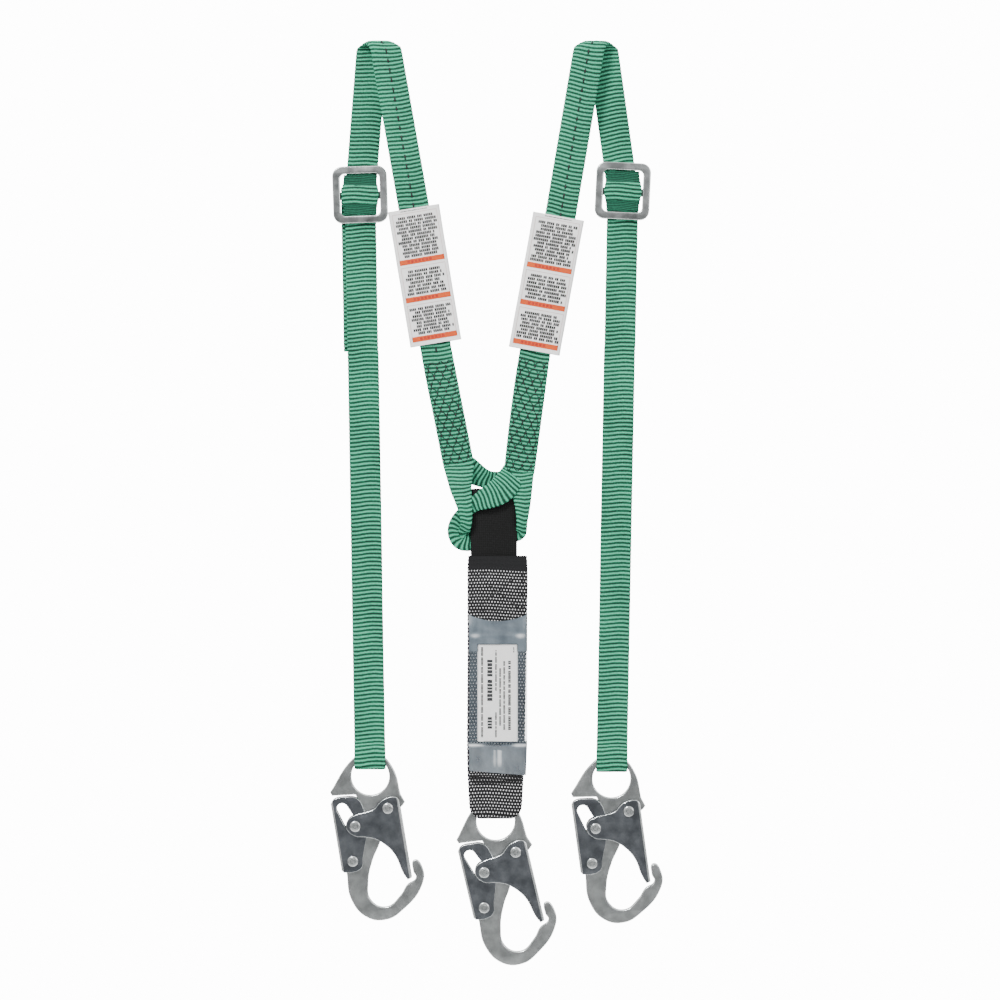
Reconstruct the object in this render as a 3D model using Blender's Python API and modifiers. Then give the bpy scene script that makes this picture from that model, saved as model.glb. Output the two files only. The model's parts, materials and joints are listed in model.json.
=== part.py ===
"""Shock absorbing lanyard: two webbing legs, a tear pack and three double-action snap hooks.

Metres, +Z up, +X right, -Y the front. The lanyard hangs from a thin rail that runs along X through
the folds of its legs. The origin is on the rail's axis, midway across the lanyard. Points written in
millimetres go through at(), which turns them into metres.
"""
from collections import namedtuple
from math import asin, cos, pi, radians, sin, tan

import bmesh
import bpy
from mathutils import Matrix, Vector

MM = 0.001
FRONT = Vector((0, -1, 0))
UPRIGHT = Matrix.Rotation(pi / 2, 4, "X")                        # outline (x, y) to world (x, z)
SIDEWAYS = Matrix(((0, 0, 1), (1, 0, 0), (0, 1, 0))).to_4x4()    # outline (x, y) to world (y, z)

GAP = 0.3 * MM                  # kept between pieces that touch
WEB_W = 25.4 * MM               # leg webbing
WEB_T = 2.2 * MM
LAYER = WEB_T + GAP             # from the middle of one webbing layer to the next
FOLD_R = 5.0 * MM + WEB_T / 2   # middle of the strap round a 10 mm rail
Y_INNER = -FOLD_R               # the inner runs and the pack hang in front of the rail
Y_OUTER = FOLD_R                # the outer runs hang behind it
Y_HOOK = Y_OUTER + LAYER / 2
FLEX_GAP = 1.5 * MM             # webbing left out on each side of a flexing line

LEGS = {
    "left": {
        "side": -1, "fold_x": -92.3, "lean_in": -12.0, "lean_out": -7.6,
        "inner": ((-26.7, -342.0), (-35.0, -300.0), (-45.3, -247.0), (-64.2, -126.5)),
        "buckle": (-108.0, -119.0), "eye": (-99.8, -597.3), "tilt": 9.3, "label": (-54.6, -186.5, 9.4),
    },
    "right": {
        "side": 1, "fold_x": 85.3, "lean_in": 11.8, "lean_out": 11.0,
        "inner": ((22.6, -348.0), (28.0, -300.0), (36.0, -247.0), (56.8, -135.5)),
        "buckle": (108.0, -116.0), "eye": (98.8, -599.4), "tilt": 7.7, "label": (45.0, -193.0, -10.3),
    },
}
FLEX_ABOVE_EYE = 30.0           # mm from a leg hook's eye centre up to where its webbing flexes

PACK_X = 5.0                    # mm, middle of the pack
PACK_W = 47 * MM
PACK_FLEX_Z = -414.0            # mm, where the black loop flexes
PACK_EYE = (3.4, -632.7)
PACK_TILT = 13.2
PACK_FLEX_GAP = 2.5 * MM
PACK_FLEX_ABOVE_EYE = 42.0      # mm, the same for the pack's hook
CROWN_Z = -360.2                # mm, top of the black loop

BUCKLE_W, BUCKLE_H, BUCKLE_T = 45 * MM, 47 * MM, 3 * MM
WINDOW_W, WINDOW_H = 32.6 * MM, 34.5 * MM
BAR_HALF_H = 3.2                # mm, half the height of the centre bar
TAIL_LENGTH = 125               # mm of sewn tail under the buckle

PLATE_T = 6 * MM                # hook body
LEVER_T, LEVER_HALF = 1.2, 4.5  # mm, sheet and half the width over the lever channel
GATE_T, GATE_HALF = 1.5, 6.3    # mm, the same for the gate channel
EYE_R, EYE_TOP = 15.6, 10.2      # mm, the eye's round part and the height of its flat top
GATE_PIVOT = (10.3, -27.9)      # mm in a hook's own frame, from the centre of its eye
GATE_PIN = (-18.5, -38.2)
LEVER_PIVOT = (-25.2, -66.4)
SHANK_R, HOLE_R = 2.5, 2.8      # mm, rivets and their holes
POCKET_R, POCKET_FLOOR = 6.5, 0.4

Station = namedtuple("Station", "centre normal width")


def at(x, y, z):
    """A point given in millimetres, in metres."""
    return Vector((x, y, z)) * MM


def clear_scene():
    for obj in list(bpy.data.objects):
        bpy.data.objects.remove(obj)


def new_collection(name):
    collection = bpy.data.collections.new(name)
    bpy.context.scene.collection.children.link(collection)
    return collection


def part_material(name, colour, roughness, metallic):
    material = bpy.data.materials.new(name)
    material.use_nodes = True
    shader = material.node_tree.nodes["Principled BSDF"]
    shader.inputs["Base Color"].default_value = (*colour, 1)
    shader.inputs["Roughness"].default_value = roughness
    shader.inputs["Metallic"].default_value = metallic
    return material


FINISHES = {
    "green_webbing": ((0.10, 0.36, 0.22), 0.85, 0),
    "grey_webbing": ((0.10, 0.10, 0.11), 0.9, 0),
    "black_webbing": ((0.02, 0.02, 0.02), 0.9, 0),
    "plate_steel": ((0.45, 0.46, 0.46), 0.4, 1),
    "sheet_steel": ((0.22, 0.24, 0.27), 0.4, 1),
    "bright_steel": ((0.60, 0.60, 0.60), 0.3, 1),
    "label_white": ((0.85, 0.84, 0.82), 0.6, 0),
    "shrink_wrap": ((0.45, 0.48, 0.52), 0.2, 0),
}


def add_part(name, mesh, finish, location=None, parent=None):
    """An object for one piece, with its own material, placed at location under its parent."""
    obj = bpy.data.objects.new(name, mesh)
    PARTS.objects.link(obj)
    obj.parent = parent
    obj.location = location or Vector((0, 0, 0))
    if not mesh.materials:
        mesh.materials.append(None)
    obj.material_slots[0].link = "OBJECT"
    obj.material_slots[0].material = part_material(name, *FINISHES[finish])
    return obj


def add_pivot(name, location, parent=None, tilt=0.0):
    """An empty on a joint or at the origin of a sub-assembly."""
    empty = bpy.data.objects.new(name, None)
    PARTS.objects.link(empty)
    empty.parent = parent
    empty.location = location
    empty.rotation_euler.y = -radians(tilt)
    return empty


def evaluated_mesh(obj):
    """The object's mesh with its modifiers applied. The object itself is removed."""
    bpy.context.view_layer.update()
    graph = bpy.context.evaluated_depsgraph_get()
    mesh = bpy.data.meshes.new_from_object(obj.evaluated_get(graph))
    mesh.transform(obj.matrix_world)
    bpy.data.objects.remove(obj)
    return mesh


def welded(mesh):
    """Joins a converted curve's loose caps to its sides, with the faces turned out."""
    bm = bmesh.new()
    bm.from_mesh(mesh)
    bmesh.ops.remove_doubles(bm, verts=bm.verts, dist=1e-6)
    bmesh.ops.recalc_face_normals(bm, faces=bm.faces)
    bm.to_mesh(mesh)
    bm.free()
    return mesh


def curve_mesh(curve):
    obj = bpy.data.objects.new(curve.name, curve)
    WORK.objects.link(obj)
    return welded(evaluated_mesh(obj))


def flat_mesh(name, outline, holes, thickness, turn=UPRIGHT, offset=(0, 0, 0)):
    """A flat piece from an outline in mm. A point (x, y, "round") is passed smoothly."""
    curve = bpy.data.curves.new(name, "CURVE")
    curve.dimensions = "2D"
    curve.fill_mode = "BOTH"
    curve.extrude = thickness / 2
    curve.resolution_u = 3
    edge = curve.splines.new("BEZIER")
    edge.bezier_points.add(len(outline) - 1)
    edge.use_cyclic_u = True
    for point, place in zip(edge.bezier_points, outline):
        kind = "AUTO" if len(place) == 3 else "VECTOR"
        point.co = at(place[0], place[1], 0)
        point.handle_left_type = kind
        point.handle_right_type = kind
    for hole in holes:
        loop = curve.splines.new("POLY")
        loop.points.add(len(hole) - 1)
        loop.use_cyclic_u = True
        for point, place in zip(loop.points, hole):
            point.co = (*at(place[0], place[1], 0), 1)
    mesh = curve_mesh(curve)
    mesh.transform(Matrix.Translation(offset) @ turn)
    return mesh


def wire_mesh(name, points, radius):
    """A round wire along the points, with closed ends."""
    curve = bpy.data.curves.new(name, "CURVE")
    curve.dimensions = "3D"
    curve.bevel_depth = radius
    curve.bevel_resolution = 2
    curve.use_fill_caps = True
    line = curve.splines.new("POLY")
    line.points.add(len(points) - 1)
    for point, place in zip(line.points, points):
        point.co = (*place, 1)
    return curve_mesh(curve)


def box_object(name, low, high):
    """A box between two corners given in mm."""
    mesh = bpy.data.meshes.new(name)
    bm = bmesh.new()
    bmesh.ops.create_cube(bm, size=1)
    size = at(*high) - at(*low)
    centre = (at(*high) + at(*low)) / 2
    bmesh.ops.scale(bm, vec=size, verts=bm.verts)
    bmesh.ops.translate(bm, vec=centre, verts=bm.verts)
    bm.to_mesh(mesh)
    bm.free()
    obj = bpy.data.objects.new(name, mesh)
    CUTTERS.objects.link(obj)
    return obj


def cylinder_object(name, centre, radius, low_y, high_y):
    """A cylinder along Y, given in mm."""
    mesh = bpy.data.meshes.new(name)
    bm = bmesh.new()
    depth = (high_y - low_y) * MM
    r = radius * MM
    bmesh.ops.create_cone(bm, cap_ends=True, segments=20, radius1=r, radius2=r, depth=depth)
    bm.transform(Matrix.Translation(at(centre[0], (low_y + high_y) / 2, centre[1])) @ UPRIGHT)
    bm.to_mesh(mesh)
    bm.free()
    obj = bpy.data.objects.new(name, mesh)
    CUTTERS.objects.link(obj)
    return obj


def combined(mesh, tools, operation):
    """The mesh cut by or joined with each tool, one after the other."""
    obj = bpy.data.objects.new("work", mesh)
    WORK.objects.link(obj)
    for tool in tools:
        step = obj.modifiers.new(tool.name, "BOOLEAN")
        step.object = tool
        step.operation = operation
    result = evaluated_mesh(obj)
    for tool in tools:
        bpy.data.objects.remove(tool)
    return welded(result)


def circle(centre, radius, steps=20):
    return [
        (centre[0] + radius * cos(2 * pi * k / steps), centre[1] + radius * sin(2 * pi * k / steps))
        for k in range(steps)
    ]


def rounded_rectangle(width, height, radius, steps=4, centre=(0, 0)):
    """Corner points in mm of a rectangle with rounded corners."""
    points = []
    for quarter, (sx, sy) in enumerate(((1, 1), (-1, 1), (-1, -1), (1, -1))):
        for k in range(steps + 1):
            angle = (quarter + k / steps) * pi / 2
            points.append((
                centre[0] + sx * (width / 2 - radius) + radius * cos(angle),
                centre[1] + sy * (height / 2 - radius) + radius * sin(angle),
            ))
    return points


def hull(points):
    """The convex outline round a set of points."""
    ordered = sorted(points)
    sides = []
    for run in (ordered, ordered[::-1]):
        side = []
        for p in run:
            while len(side) > 1:
                (ax, ay), (bx, by) = side[-2:]
                if (bx - ax) * (p[1] - ay) - (by - ay) * (p[0] - ax) > 0:
                    break
                side.pop()
            side.append(p)
        sides += side[:-1]
    return sides


def smooth_route(stations, steps):
    """Stations on a smooth curve through the given ones."""
    result = []
    last = len(stations) - 1
    for i in range(last):
        a, b = stations[max(i - 1, 0)], stations[i]
        c, d = stations[i + 1], stations[min(i + 2, last)]
        for k in range(steps):
            t = k / steps
            result.append(Station(*(
                b[j] + ((c[j] - a[j]) * t + (2 * a[j] - 5 * b[j] + 4 * c[j] - d[j]) * t ** 2
                        + (3 * b[j] - a[j] - 3 * c[j] + d[j]) * t ** 3) / 2
                for j in range(3)
            )))
    return result + [stations[-1]]


def ribbon_mesh(name, stations, thickness):
    """A flat strap lofted through its stations."""
    bm = bmesh.new()
    last = len(stations) - 1
    rings = []
    for i, station in enumerate(stations):
        along = (stations[min(i + 1, last)].centre - stations[max(i - 1, 0)].centre).normalized()
        face = (station.normal - along * along.dot(station.normal)).normalized()
        across = along.cross(face) * station.width / 2
        out = face * thickness / 2
        rings.append([
            bm.verts.new(station.centre + sx * across + sy * out)
            for sx, sy in ((1, 1), (-1, 1), (-1, -1), (1, -1))
        ])
    for ring, following in zip(rings, rings[1:]):
        for k in range(4):
            bm.faces.new((ring[k], ring[(k + 1) % 4], following[(k + 1) % 4], following[k]))
    bm.faces.new(rings[0])
    bm.faces.new(rings[-1])
    bmesh.ops.recalc_face_normals(bm, faces=bm.faces)
    mesh = bpy.data.meshes.new(name)
    bm.to_mesh(mesh)
    bm.free()
    return mesh


def add_ribbon(name, stations, thickness, finish, parent=None, origin=None):
    """A strap whose origin is at its own first station, or at the given joint."""
    origin = origin or stations[0].centre
    mesh = ribbon_mesh(name, stations, thickness)
    mesh.transform(Matrix.Translation(-origin))
    placed = origin if parent is None else origin - parent.matrix_world.translation
    return add_part(name, mesh, finish, placed, parent)


# ---------------------------------------------------------------- leg webbing

def eye_route(side):
    """The leg's sewn eye, from its back layer round the crown of the black loop to its front layer.

    The strap lies flat all the way: through the black loop from one side, and back over its crown.
    """
    middle = Y_INNER / MM
    if side < 0:
        places = (
            (-19.5, 2.5, -345, 22), (-4, 5.6, -352, 13), (13, 7.2, -352, 12), (26, 8.2, -360, 12),
            (32, 4.5, -375, 12), (25, 1.35, -389, 14), (5, 1.35, -394, 16), (-13, 1.35, -393, 15),
            (-24.5, 1.35, -381, 14), (-28, 0.6, -362, 18),
        )
    else:
        places = (
            (19, 2.2, -351.5, 13), (13, -4.5, -353.5, 13), (6, -9.2, -360, 13), (-4, -9.8, -367.5, 14),
            (-15, -9.4, -376, 14), (-25.5, -6.2, -386, 13), (-29.5, -2.6, -395, 12), (-22, -1.35, -403, 12),
            (4, -1.35, -400, 14), (24, -1.35, -393, 14), (30.5, -1.2, -378, 13), (32.5, -0.7, -361.5, 12.5),
        )
    return [Station(at(x, middle + y, z), FRONT, width * MM) for x, y, z, width in places]


def inner_run(leg):
    """The run from the sewn zone up to the fold."""
    y = Y_INNER / MM
    return [Station(at(x, y, z), FRONT, WEB_W) for x, z in leg["inner"]]


def sewn_layer(leg):
    """The strap's end behind the sewn zone, from its top edge down."""
    y = (Y_INNER + LAYER) / MM
    (low_x, low_z), (high_x, high_z) = leg["inner"][0], leg["inner"][2]
    return [
        Station(at(low_x + (high_x - low_x) * t, y, low_z + (high_z - low_z) * t), FRONT, WEB_W)
        for t in (0.97, 0.5, 0.0)
    ]


def fold(leg, steps=8):
    """The half turn over the rail. The strap leans, so it wraps the rail as a helix."""
    result = []
    for k in range(steps + 1):
        turn = pi * k / steps
        lean = radians(leg["lean_in"] + (leg["lean_out"] - leg["lean_in"]) * k / steps)
        drift = (turn - pi / 2) * FOLD_R * tan(lean)
        outward = Vector((0, -cos(turn), sin(turn)))
        centre = at(leg["fold_x"], 0, 0) + Vector((drift, 0, 0)) + outward * FOLD_R
        result.append(Station(centre, outward, WEB_W))
    return result


def hang_direction(leg):
    """Unit vector down the leg from its buckle to its hook."""
    return (at(leg["eye"][0], 0, leg["eye"][1]) - at(leg["buckle"][0], 0, leg["buckle"][1])).normalized()


def flex_point(leg):
    """Where the webbing above the hook's eye bends."""
    eye = at(leg["eye"][0], Y_HOOK / MM, leg["eye"][1])
    return eye - hang_direction(leg) * FLEX_ABOVE_EYE * MM


def outer_run(leg):
    """The run through the buckle down to the hook's webbing."""
    back = -FRONT
    down = hang_direction(leg)
    buckle = at(leg["buckle"][0], Y_OUTER / MM, leg["buckle"][1])
    above = fold(leg)[-1].centre
    end = flex_point(leg) - down * FLEX_GAP
    end.y = Y_OUTER
    upper = (above - buckle).normalized()
    bend = 16 * MM
    shift = buckle + (upper + down).normalized() * -1 * MM
    return [
        Station(buckle + upper * bend, back, WEB_W),
        Station(shift.lerp(buckle, 0.5), back, WEB_W),
        Station(buckle + down * bend, back, WEB_W),
        Station(end, back, WEB_W),
    ]


def add_leg_webbing(name, leg):
    stations = sewn_layer(leg) + smooth_route(eye_route(leg["side"]), 3) + inner_run(leg)
    stations += fold(leg) + outer_run(leg)
    origin = at(leg["fold_x"], 0, 0)
    add_ribbon(name + "_leg_webbing", stations, WEB_T, "green_webbing", origin=origin)


def add_return_webbing(name, leg):
    """The strap's way back up from the hook. Above it stands clear of the buckle's sewn tail."""
    down = hang_direction(leg)
    end = flex_point(leg) - down * FLEX_GAP
    top = at(leg["buckle"][0], 0, leg["buckle"][1]) + down * (TAIL_LENGTH + 3) * MM
    places = (
        (0, 3 * LAYER + 0.2 * MM), (165 * MM, 3 * LAYER + 0.2 * MM), (205 * MM, LAYER),
        ((end - top).length - 1 * MM, LAYER),
    )
    stations = []
    for distance, behind in places:
        centre = top + down * distance
        centre.y = Y_OUTER + behind
        stations.append(Station(centre, -FRONT, WEB_W))
    last = end.copy()
    last.y = Y_OUTER + LAYER
    stations[-1] = Station(last, -FRONT, WEB_W)
    add_ribbon(name + "_return_webbing", stations, WEB_T, "green_webbing")


def add_label(name, leg):
    """A printed sleeve round the inner run."""
    x, z, lean = leg["label"]
    inner = rounded_rectangle(41, 5, 1.2, 2)
    outline = rounded_rectangle(42.2, 6.2, 1.8, 2)
    mesh = flat_mesh(name, outline, [inner], 112 * MM, Matrix.Identity(4))
    obj = add_part(name + "_warning_label", mesh, "label_white", at(x, Y_INNER / MM, z))
    obj.rotation_euler.y = -radians(lean)


# ---------------------------------------------------------------- slide buckle

def buckle_frame_mesh():
    """A flat frame in front of the strap, and a bar behind it carried on two lugs."""
    half = BUCKLE_T / MM / 2
    window = rounded_rectangle(WINDOW_W / MM, WINDOW_H / MM, 4)
    outline = rounded_rectangle(BUCKLE_W / MM, BUCKLE_H / MM, 8)
    centre_y = -(WEB_T / 2 + GAP + BUCKLE_T / 2)
    mesh = flat_mesh("buckle", outline, [window], BUCKLE_T, UPRIGHT, (0, centre_y, 0))
    back = 3.9 + 2 * half
    bars = [
        box_object("lug_left", (-22, -2.0, -BAR_HALF_H), (-16.8, back - 0.1, BAR_HALF_H)),
        box_object("lug_right", (16.8, -2.0, -BAR_HALF_H), (22, back - 0.1, BAR_HALF_H)),
        box_object("centre_bar", (-21.5, 3.9, -BAR_HALF_H + 0.1), (21.5, back, BAR_HALF_H - 0.1)),
    ]
    return combined(mesh, bars, "UNION")


def buckle_webbing_stations(leg):
    """The strap's end round the centre bar, in the buckle's frame: tail in front, main run behind."""
    down = hang_direction(leg)
    side = Vector((down.x / -down.z, 0, -1))
    front_y, back_y = LAYER / MM, 3.9 + BUCKLE_T / MM + 0.3 + WEB_T / MM / 2
    middle = (front_y + back_y) / 2
    arc = (back_y - front_y) / 2
    turn_z = BAR_HALF_H
    places = [(front_y, TAIL_LENGTH), (front_y, 8), (front_y, -turn_z)]
    places += [(middle - arc * cos(pi * k / 6), -turn_z - arc * sin(pi * k / 6)) for k in range(1, 6)]
    places += [(back_y, -turn_z), (back_y, 8), (2 * front_y, 20), (2 * front_y, TAIL_LENGTH)]
    stations = []
    for i, (y, drop) in enumerate(places):
        outward = FRONT if i < 3 else -FRONT
        if 3 <= i < 8:
            turn = pi * (i - 2) / 6
            outward = Vector((0, -cos(turn), sin(turn)))
        stations.append(Station(at(0, y, 0) + side * drop * MM, outward, WEB_W))
    return stations


def add_buckle(name, leg, frame_mesh):
    place = at(leg["buckle"][0], Y_OUTER / MM, leg["buckle"][1])
    pivot = add_pivot(name + "_buckle_slide", place)
    add_part(name + "_slide_buckle", frame_mesh, "bright_steel", parent=pivot).rotation_euler.y = radians(
        leg["lean_out"] / 4)
    mesh = ribbon_mesh(name, buckle_webbing_stations(leg), WEB_T)
    add_part(name + "_buckle_webbing", mesh, "green_webbing", parent=pivot)


# ---------------------------------------------------------------- snap hooks

def hook_plate_mesh():
    """The plate: eye at the top, ear on the left for the lever, spine, and the round nose."""
    r = "round"
    outline = (
        (-34.7, -7.6), (-12.1, 16.3, r), (0, 20.5, r), (10.5, 16.8, r), (19.5, 3.6, r), (22.2, -18.8),
        (24.7, -25.6), (22.6, -27.9), (17.5, -31.4, r), (11.5, -36.2, r), (5, -40.5, r), (-0.7, -54.9, r),
        (-8.9, -68.1, r), (-15.7, -86.1, r), (-16, -100.3, r), (-4.9, -108.2, r), (8.9, -100.6, r),
        (15.6, -93, r), (23.6, -88.4, r), (22.3, -82.3, r), (24.7, -73.8, r), (30.6, -83, r),
        (27.6, -95.5, r), (9, -112.8, r), (-5.3, -118.6, r), (-21.3, -114.2, r), (-31.8, -97.6, r),
        (-32, -74.9, r), (-32, -57), (-29.5, -52.5), (-14.5, -46), (-12.5, -40), (-12.5, -18),
        (-14.5, -13), (-33.7, -10.8),
    )
    shoulder = asin(EYE_TOP / EYE_R)
    start, sweep, steps = pi - shoulder, pi + 2 * shoulder, 18
    eye = [
        (EYE_R * cos(start + sweep * k / steps), EYE_R * sin(start + sweep * k / steps))
        for k in range(steps + 1)
    ]
    holes = [eye, circle(GATE_PIVOT, HOLE_R, 12), circle(LEVER_PIVOT, HOLE_R, 12)]
    mesh = flat_mesh("hook_plate", outline, holes, PLATE_T)
    pockets = [
        cylinder_object("gate_pocket", GATE_PIVOT, POCKET_R, POCKET_FLOOR, 4),
        cylinder_object("lever_pocket", LEVER_PIVOT, POCKET_R - 0.7, POCKET_FLOOR, 4),
    ]
    return combined(mesh, pockets, "DIFFERENCE")


def gate_mesh():
    """A channel folded round its right edge, in the frame of its pivot."""
    r = "round"
    outline = (
        (20.4, -22.5), (18.2, -19.9, r), (8, -20.2, r), (3.6, -22.9, r), (-1, -26.7, r), (-8.3, -28.1, r),
        (-17.6, -29.2, r), (-24.2, -32.6, r), (-26, -38.6, r), (-20.3, -46.1, r), (-11.7, -48.5, r),
        (-4.1, -51.3, r), (3, -57, r), (9.5, -66.1, r), (14.4, -83.4, r), (17, -88.6), (20.4, -87.4),
    )
    holes = [circle(GATE_PIVOT, HOLE_R, 12), circle(GATE_PIN, HOLE_R, 12)]
    mesh = flat_mesh("gate", outline, holes, 2 * GATE_HALF * MM)
    inside = GATE_HALF - GATE_T
    hollows = [
        box_object("gate_inside", (-40, -inside, -95), (20.4 - GATE_T, inside, -10)),
        box_object("gate_head", (0, -inside - 0.01, -31), (40, inside + 0.01, -10)),
    ]
    mesh = combined(mesh, hollows, "DIFFERENCE")
    mesh.transform(Matrix.Translation(-at(GATE_PIVOT[0], 0, GATE_PIVOT[1])))
    return mesh


def lever_mesh():
    """A channel folded round its left edge, with the slot that the gate pin rides in."""
    r = "round"
    outline = (
        (-35.6, -17), (-33, -14, r), (-24, -13.2, r), (-13.4, -16.2, r), (-9.4, -25, r), (-8.6, -38, r),
        (-11.5, -50.6, r), (-16.4, -64.9, r), (-18.6, -72.6, r), (-27.2, -75.6, r), (-34, -74.6),
        (-35.6, -72.5),
    )
    slot = hull(circle((-26.9, -22.6), 4.6) + circle((-23.4, -37.3), 3.4) + circle(GATE_PIN, 3.2))
    mesh = flat_mesh("lever", outline, [circle(LEVER_PIVOT, HOLE_R, 12), slot], 2 * LEVER_HALF * MM)
    inside = LEVER_HALF - LEVER_T
    hollow = box_object("lever_inside", (-35.6 + LEVER_T, -inside, -90), (10, inside, 0))
    mesh = combined(mesh, [hollow], "DIFFERENCE")
    mesh.transform(Matrix.Translation(-at(LEVER_PIVOT[0], 0, LEVER_PIVOT[1])))
    return mesh


def rivet_mesh(reach):
    """A shank along Y between two domed heads whose inner faces stand at plus and minus reach."""
    head_r, head_h = 4.6, 1.5
    profile = (
        (0, reach + head_h), (3.4, reach + head_h), (head_r, reach + 0.7), (head_r, reach),
        (SHANK_R, reach), (SHANK_R, -reach), (head_r, -reach), (head_r, -reach - 0.7),
        (3.4, -reach - head_h), (0, -reach - head_h),
    )
    mesh = bpy.data.meshes.new("rivet")
    mesh.from_pydata([at(x, 0, z) for x, z in profile], [(i, i + 1) for i in range(len(profile) - 1)], [])
    obj = bpy.data.objects.new("rivet", mesh)
    WORK.objects.link(obj)
    spin = obj.modifiers.new("spin", "SCREW")
    spin.steps = 14
    spin.render_steps = 14
    spin.use_merge_vertices = True
    spin.merge_threshold = 1e-6
    result = welded(evaluated_mesh(obj))
    result.transform(UPRIGHT)
    return result


def spring_mesh(turns, first_angle):
    """A torsion spring round a rivet, with a short straight leg at each end."""
    coil_r, wire_r, pitch, leg = 3.7, 0.5, 1.15, 2.2
    steps = round(turns * 11)
    start_y = POCKET_FLOOR + wire_r + 0.15
    points = []
    for k in range(steps + 1):
        angle = radians(first_angle) + 2 * pi * turns * k / steps
        points.append(at(coil_r * cos(angle), start_y + pitch * turns * k / steps, coil_r * sin(angle)))
    first = (points[0] - points[1]).normalized()
    last = (points[-1] - points[-2]).normalized()
    first.y = last.y = 0
    points = [points[0] + first * leg * MM] + points + [points[-1] + last * leg * MM]
    return wire_mesh("spring", points, wire_r * MM)


def hook_webbing_route(thickness, top_width, top, drop=0.0):
    """The webbing's turn through a hook's eye, from its front end down and back up, seen from the eye.

    It hangs in line with the webbing above, and the hook's rim tilts inside it. A drop lowers the turn.
    """
    t = thickness / MM
    side = 3.6 + t / 2
    corner = 0.9 + t / 2
    ends = 0.15 + t / 2
    straight = 2.5 + t / 2
    low = 8.6 - drop
    down = [(side, 19.6 + t), (side, low + 0.6)]
    arc = [(2.7 + corner * cos(pi * k / 6), low - corner * sin(pi * k / 6)) for k in range(4)]
    half = down + arc
    turn = []
    for y, v in [(-y, v) for y, v in half] + half[::-1]:
        outward = Vector((0, y, min(v - low, 0))).normalized()
        turn.append(Station(at(0, y, v) + Vector((top.x * v * MM / top.z, 0, 0)), outward, WEB_W))
    front_end = [Station(top + at(0, -ends, -d), FRONT, top_width) for d in (0, straight)]
    back_end = [Station(top + at(0, ends, -d), -FRONT, top_width) for d in (straight, 0)]
    return front_end + turn + back_end


def add_hook(name, eye, tilt, flex, meshes, parent=None):
    """A whole hook under an empty on its flexing line."""
    swing = add_pivot(name + "_hook_flex", flex - (parent.location if parent else Vector((0, 0, 0))), parent)
    frame = add_pivot(name + "_hook_frame", eye - flex, swing, tilt)
    gate_place = at(GATE_PIVOT[0], 0, GATE_PIVOT[1])
    lever_place = at(LEVER_PIVOT[0], 0, LEVER_PIVOT[1])
    add_part(name + "_hook_body", meshes["plate"], "plate_steel", parent=frame)
    gate = add_pivot(name + "_gate_hinge", gate_place, frame)
    lever = add_pivot(name + "_lever_hinge", lever_place, frame)
    add_part(name + "_gate", meshes["gate"], "sheet_steel", parent=gate)
    add_part(name + "_gate_pin", meshes["wide_rivet"], "bright_steel",
             at(GATE_PIN[0], 0, GATE_PIN[1]) - gate_place, gate)
    add_part(name + "_lock_lever", meshes["lever"], "sheet_steel", parent=lever)
    add_part(name + "_gate_pivot", meshes["wide_rivet"], "bright_steel", gate_place, frame)
    add_part(name + "_lever_pivot", meshes["narrow_rivet"], "bright_steel", lever_place, frame)
    add_part(name + "_gate_spring", meshes["gate_spring"], "bright_steel", gate_place, frame)
    add_part(name + "_lever_spring", meshes["lever_spring"], "bright_steel", lever_place, frame)
    return swing


def hook_meshes():
    return {
        "plate": hook_plate_mesh(),
        "gate": gate_mesh(),
        "lever": lever_mesh(),
        "wide_rivet": rivet_mesh(GATE_HALF + GAP / MM),
        "narrow_rivet": rivet_mesh(LEVER_HALF + GAP / MM),
        "gate_spring": spring_mesh(2.0, 40),
        "lever_spring": spring_mesh(1.4, 200),
    }


def add_hook_webbing(name, eye, route, thickness, finish, swing):
    """The route is seen from the eye and the piece hangs from its flexing line."""
    shift = eye - swing.matrix_world.translation
    stations = [Station(s.centre + shift, s.normal, s.width) for s in route]
    add_part(name, ribbon_mesh(name, stations, thickness), finish, parent=swing)


# ---------------------------------------------------------------- pack

def add_pack_loop():
    """The black loop: one strap up, over its crown and down, open along X."""
    outer, inner = 5.8, 3.2
    crown = CROWN_Z - outer
    foot = PACK_FLEX_Z + 2
    steps = 8
    over = [(outer * cos(pi * k / steps), crown + outer * sin(pi * k / steps)) for k in range(steps + 1)]
    under = [(inner * cos(pi * k / steps), crown + inner * sin(pi * k / steps)) for k in range(steps + 1)]
    outline = [(outer, foot)] + over + [(-outer, foot), (-inner, foot)] + under[::-1] + [(inner, foot)]
    outline = [(y, z - CROWN_Z) for y, z in outline]
    mesh = flat_mesh("pack_loop", outline, [], 38 * MM, SIDEWAYS)
    add_part("pack_loop", mesh, "black_webbing", at(2, Y_INNER / MM, CROWN_Z))


def casing_mesh(foot):
    """Webbing down the front, in at the foot and up the back, in the frame of the pack's hinge."""
    top = -2
    outline = (
        (-7, top), (-13.5, top - 24), (-13.5, -148), (-5, foot), (5, foot), (13.5, -148),
        (13.5, top - 24), (7, top), (4.5, top), (11, top - 24), (11, -148), (1.5, foot + 7),
        (-1.5, foot + 7), (-11, -148), (-11, top - 24), (-4.5, top),
    )
    return flat_mesh("casing", outline, [], PACK_W, SIDEWAYS)


def folded_outline(layers, thick, gap, top, foot):
    """A strap folded to and fro, in side view: its gaps open at the foot and at the top by turns."""
    pitch = thick + gap
    left = -(layers * pitch - gap) / 2
    lower = [(left, foot)]
    for k in range(2, layers, 2):
        x = left + k * pitch
        lower += [(x - gap, foot), (x - gap, top - thick), (x, top - thick), (x, foot)]
    upper = [(-left, foot), (-left, top)]
    for k in range(layers - 1, 0, -2):
        x = left + k * pitch
        upper += [(x, top), (x, foot + thick), (x - gap, foot + thick), (x - gap, top)]
    return lower + upper + [(left, top)]


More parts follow.
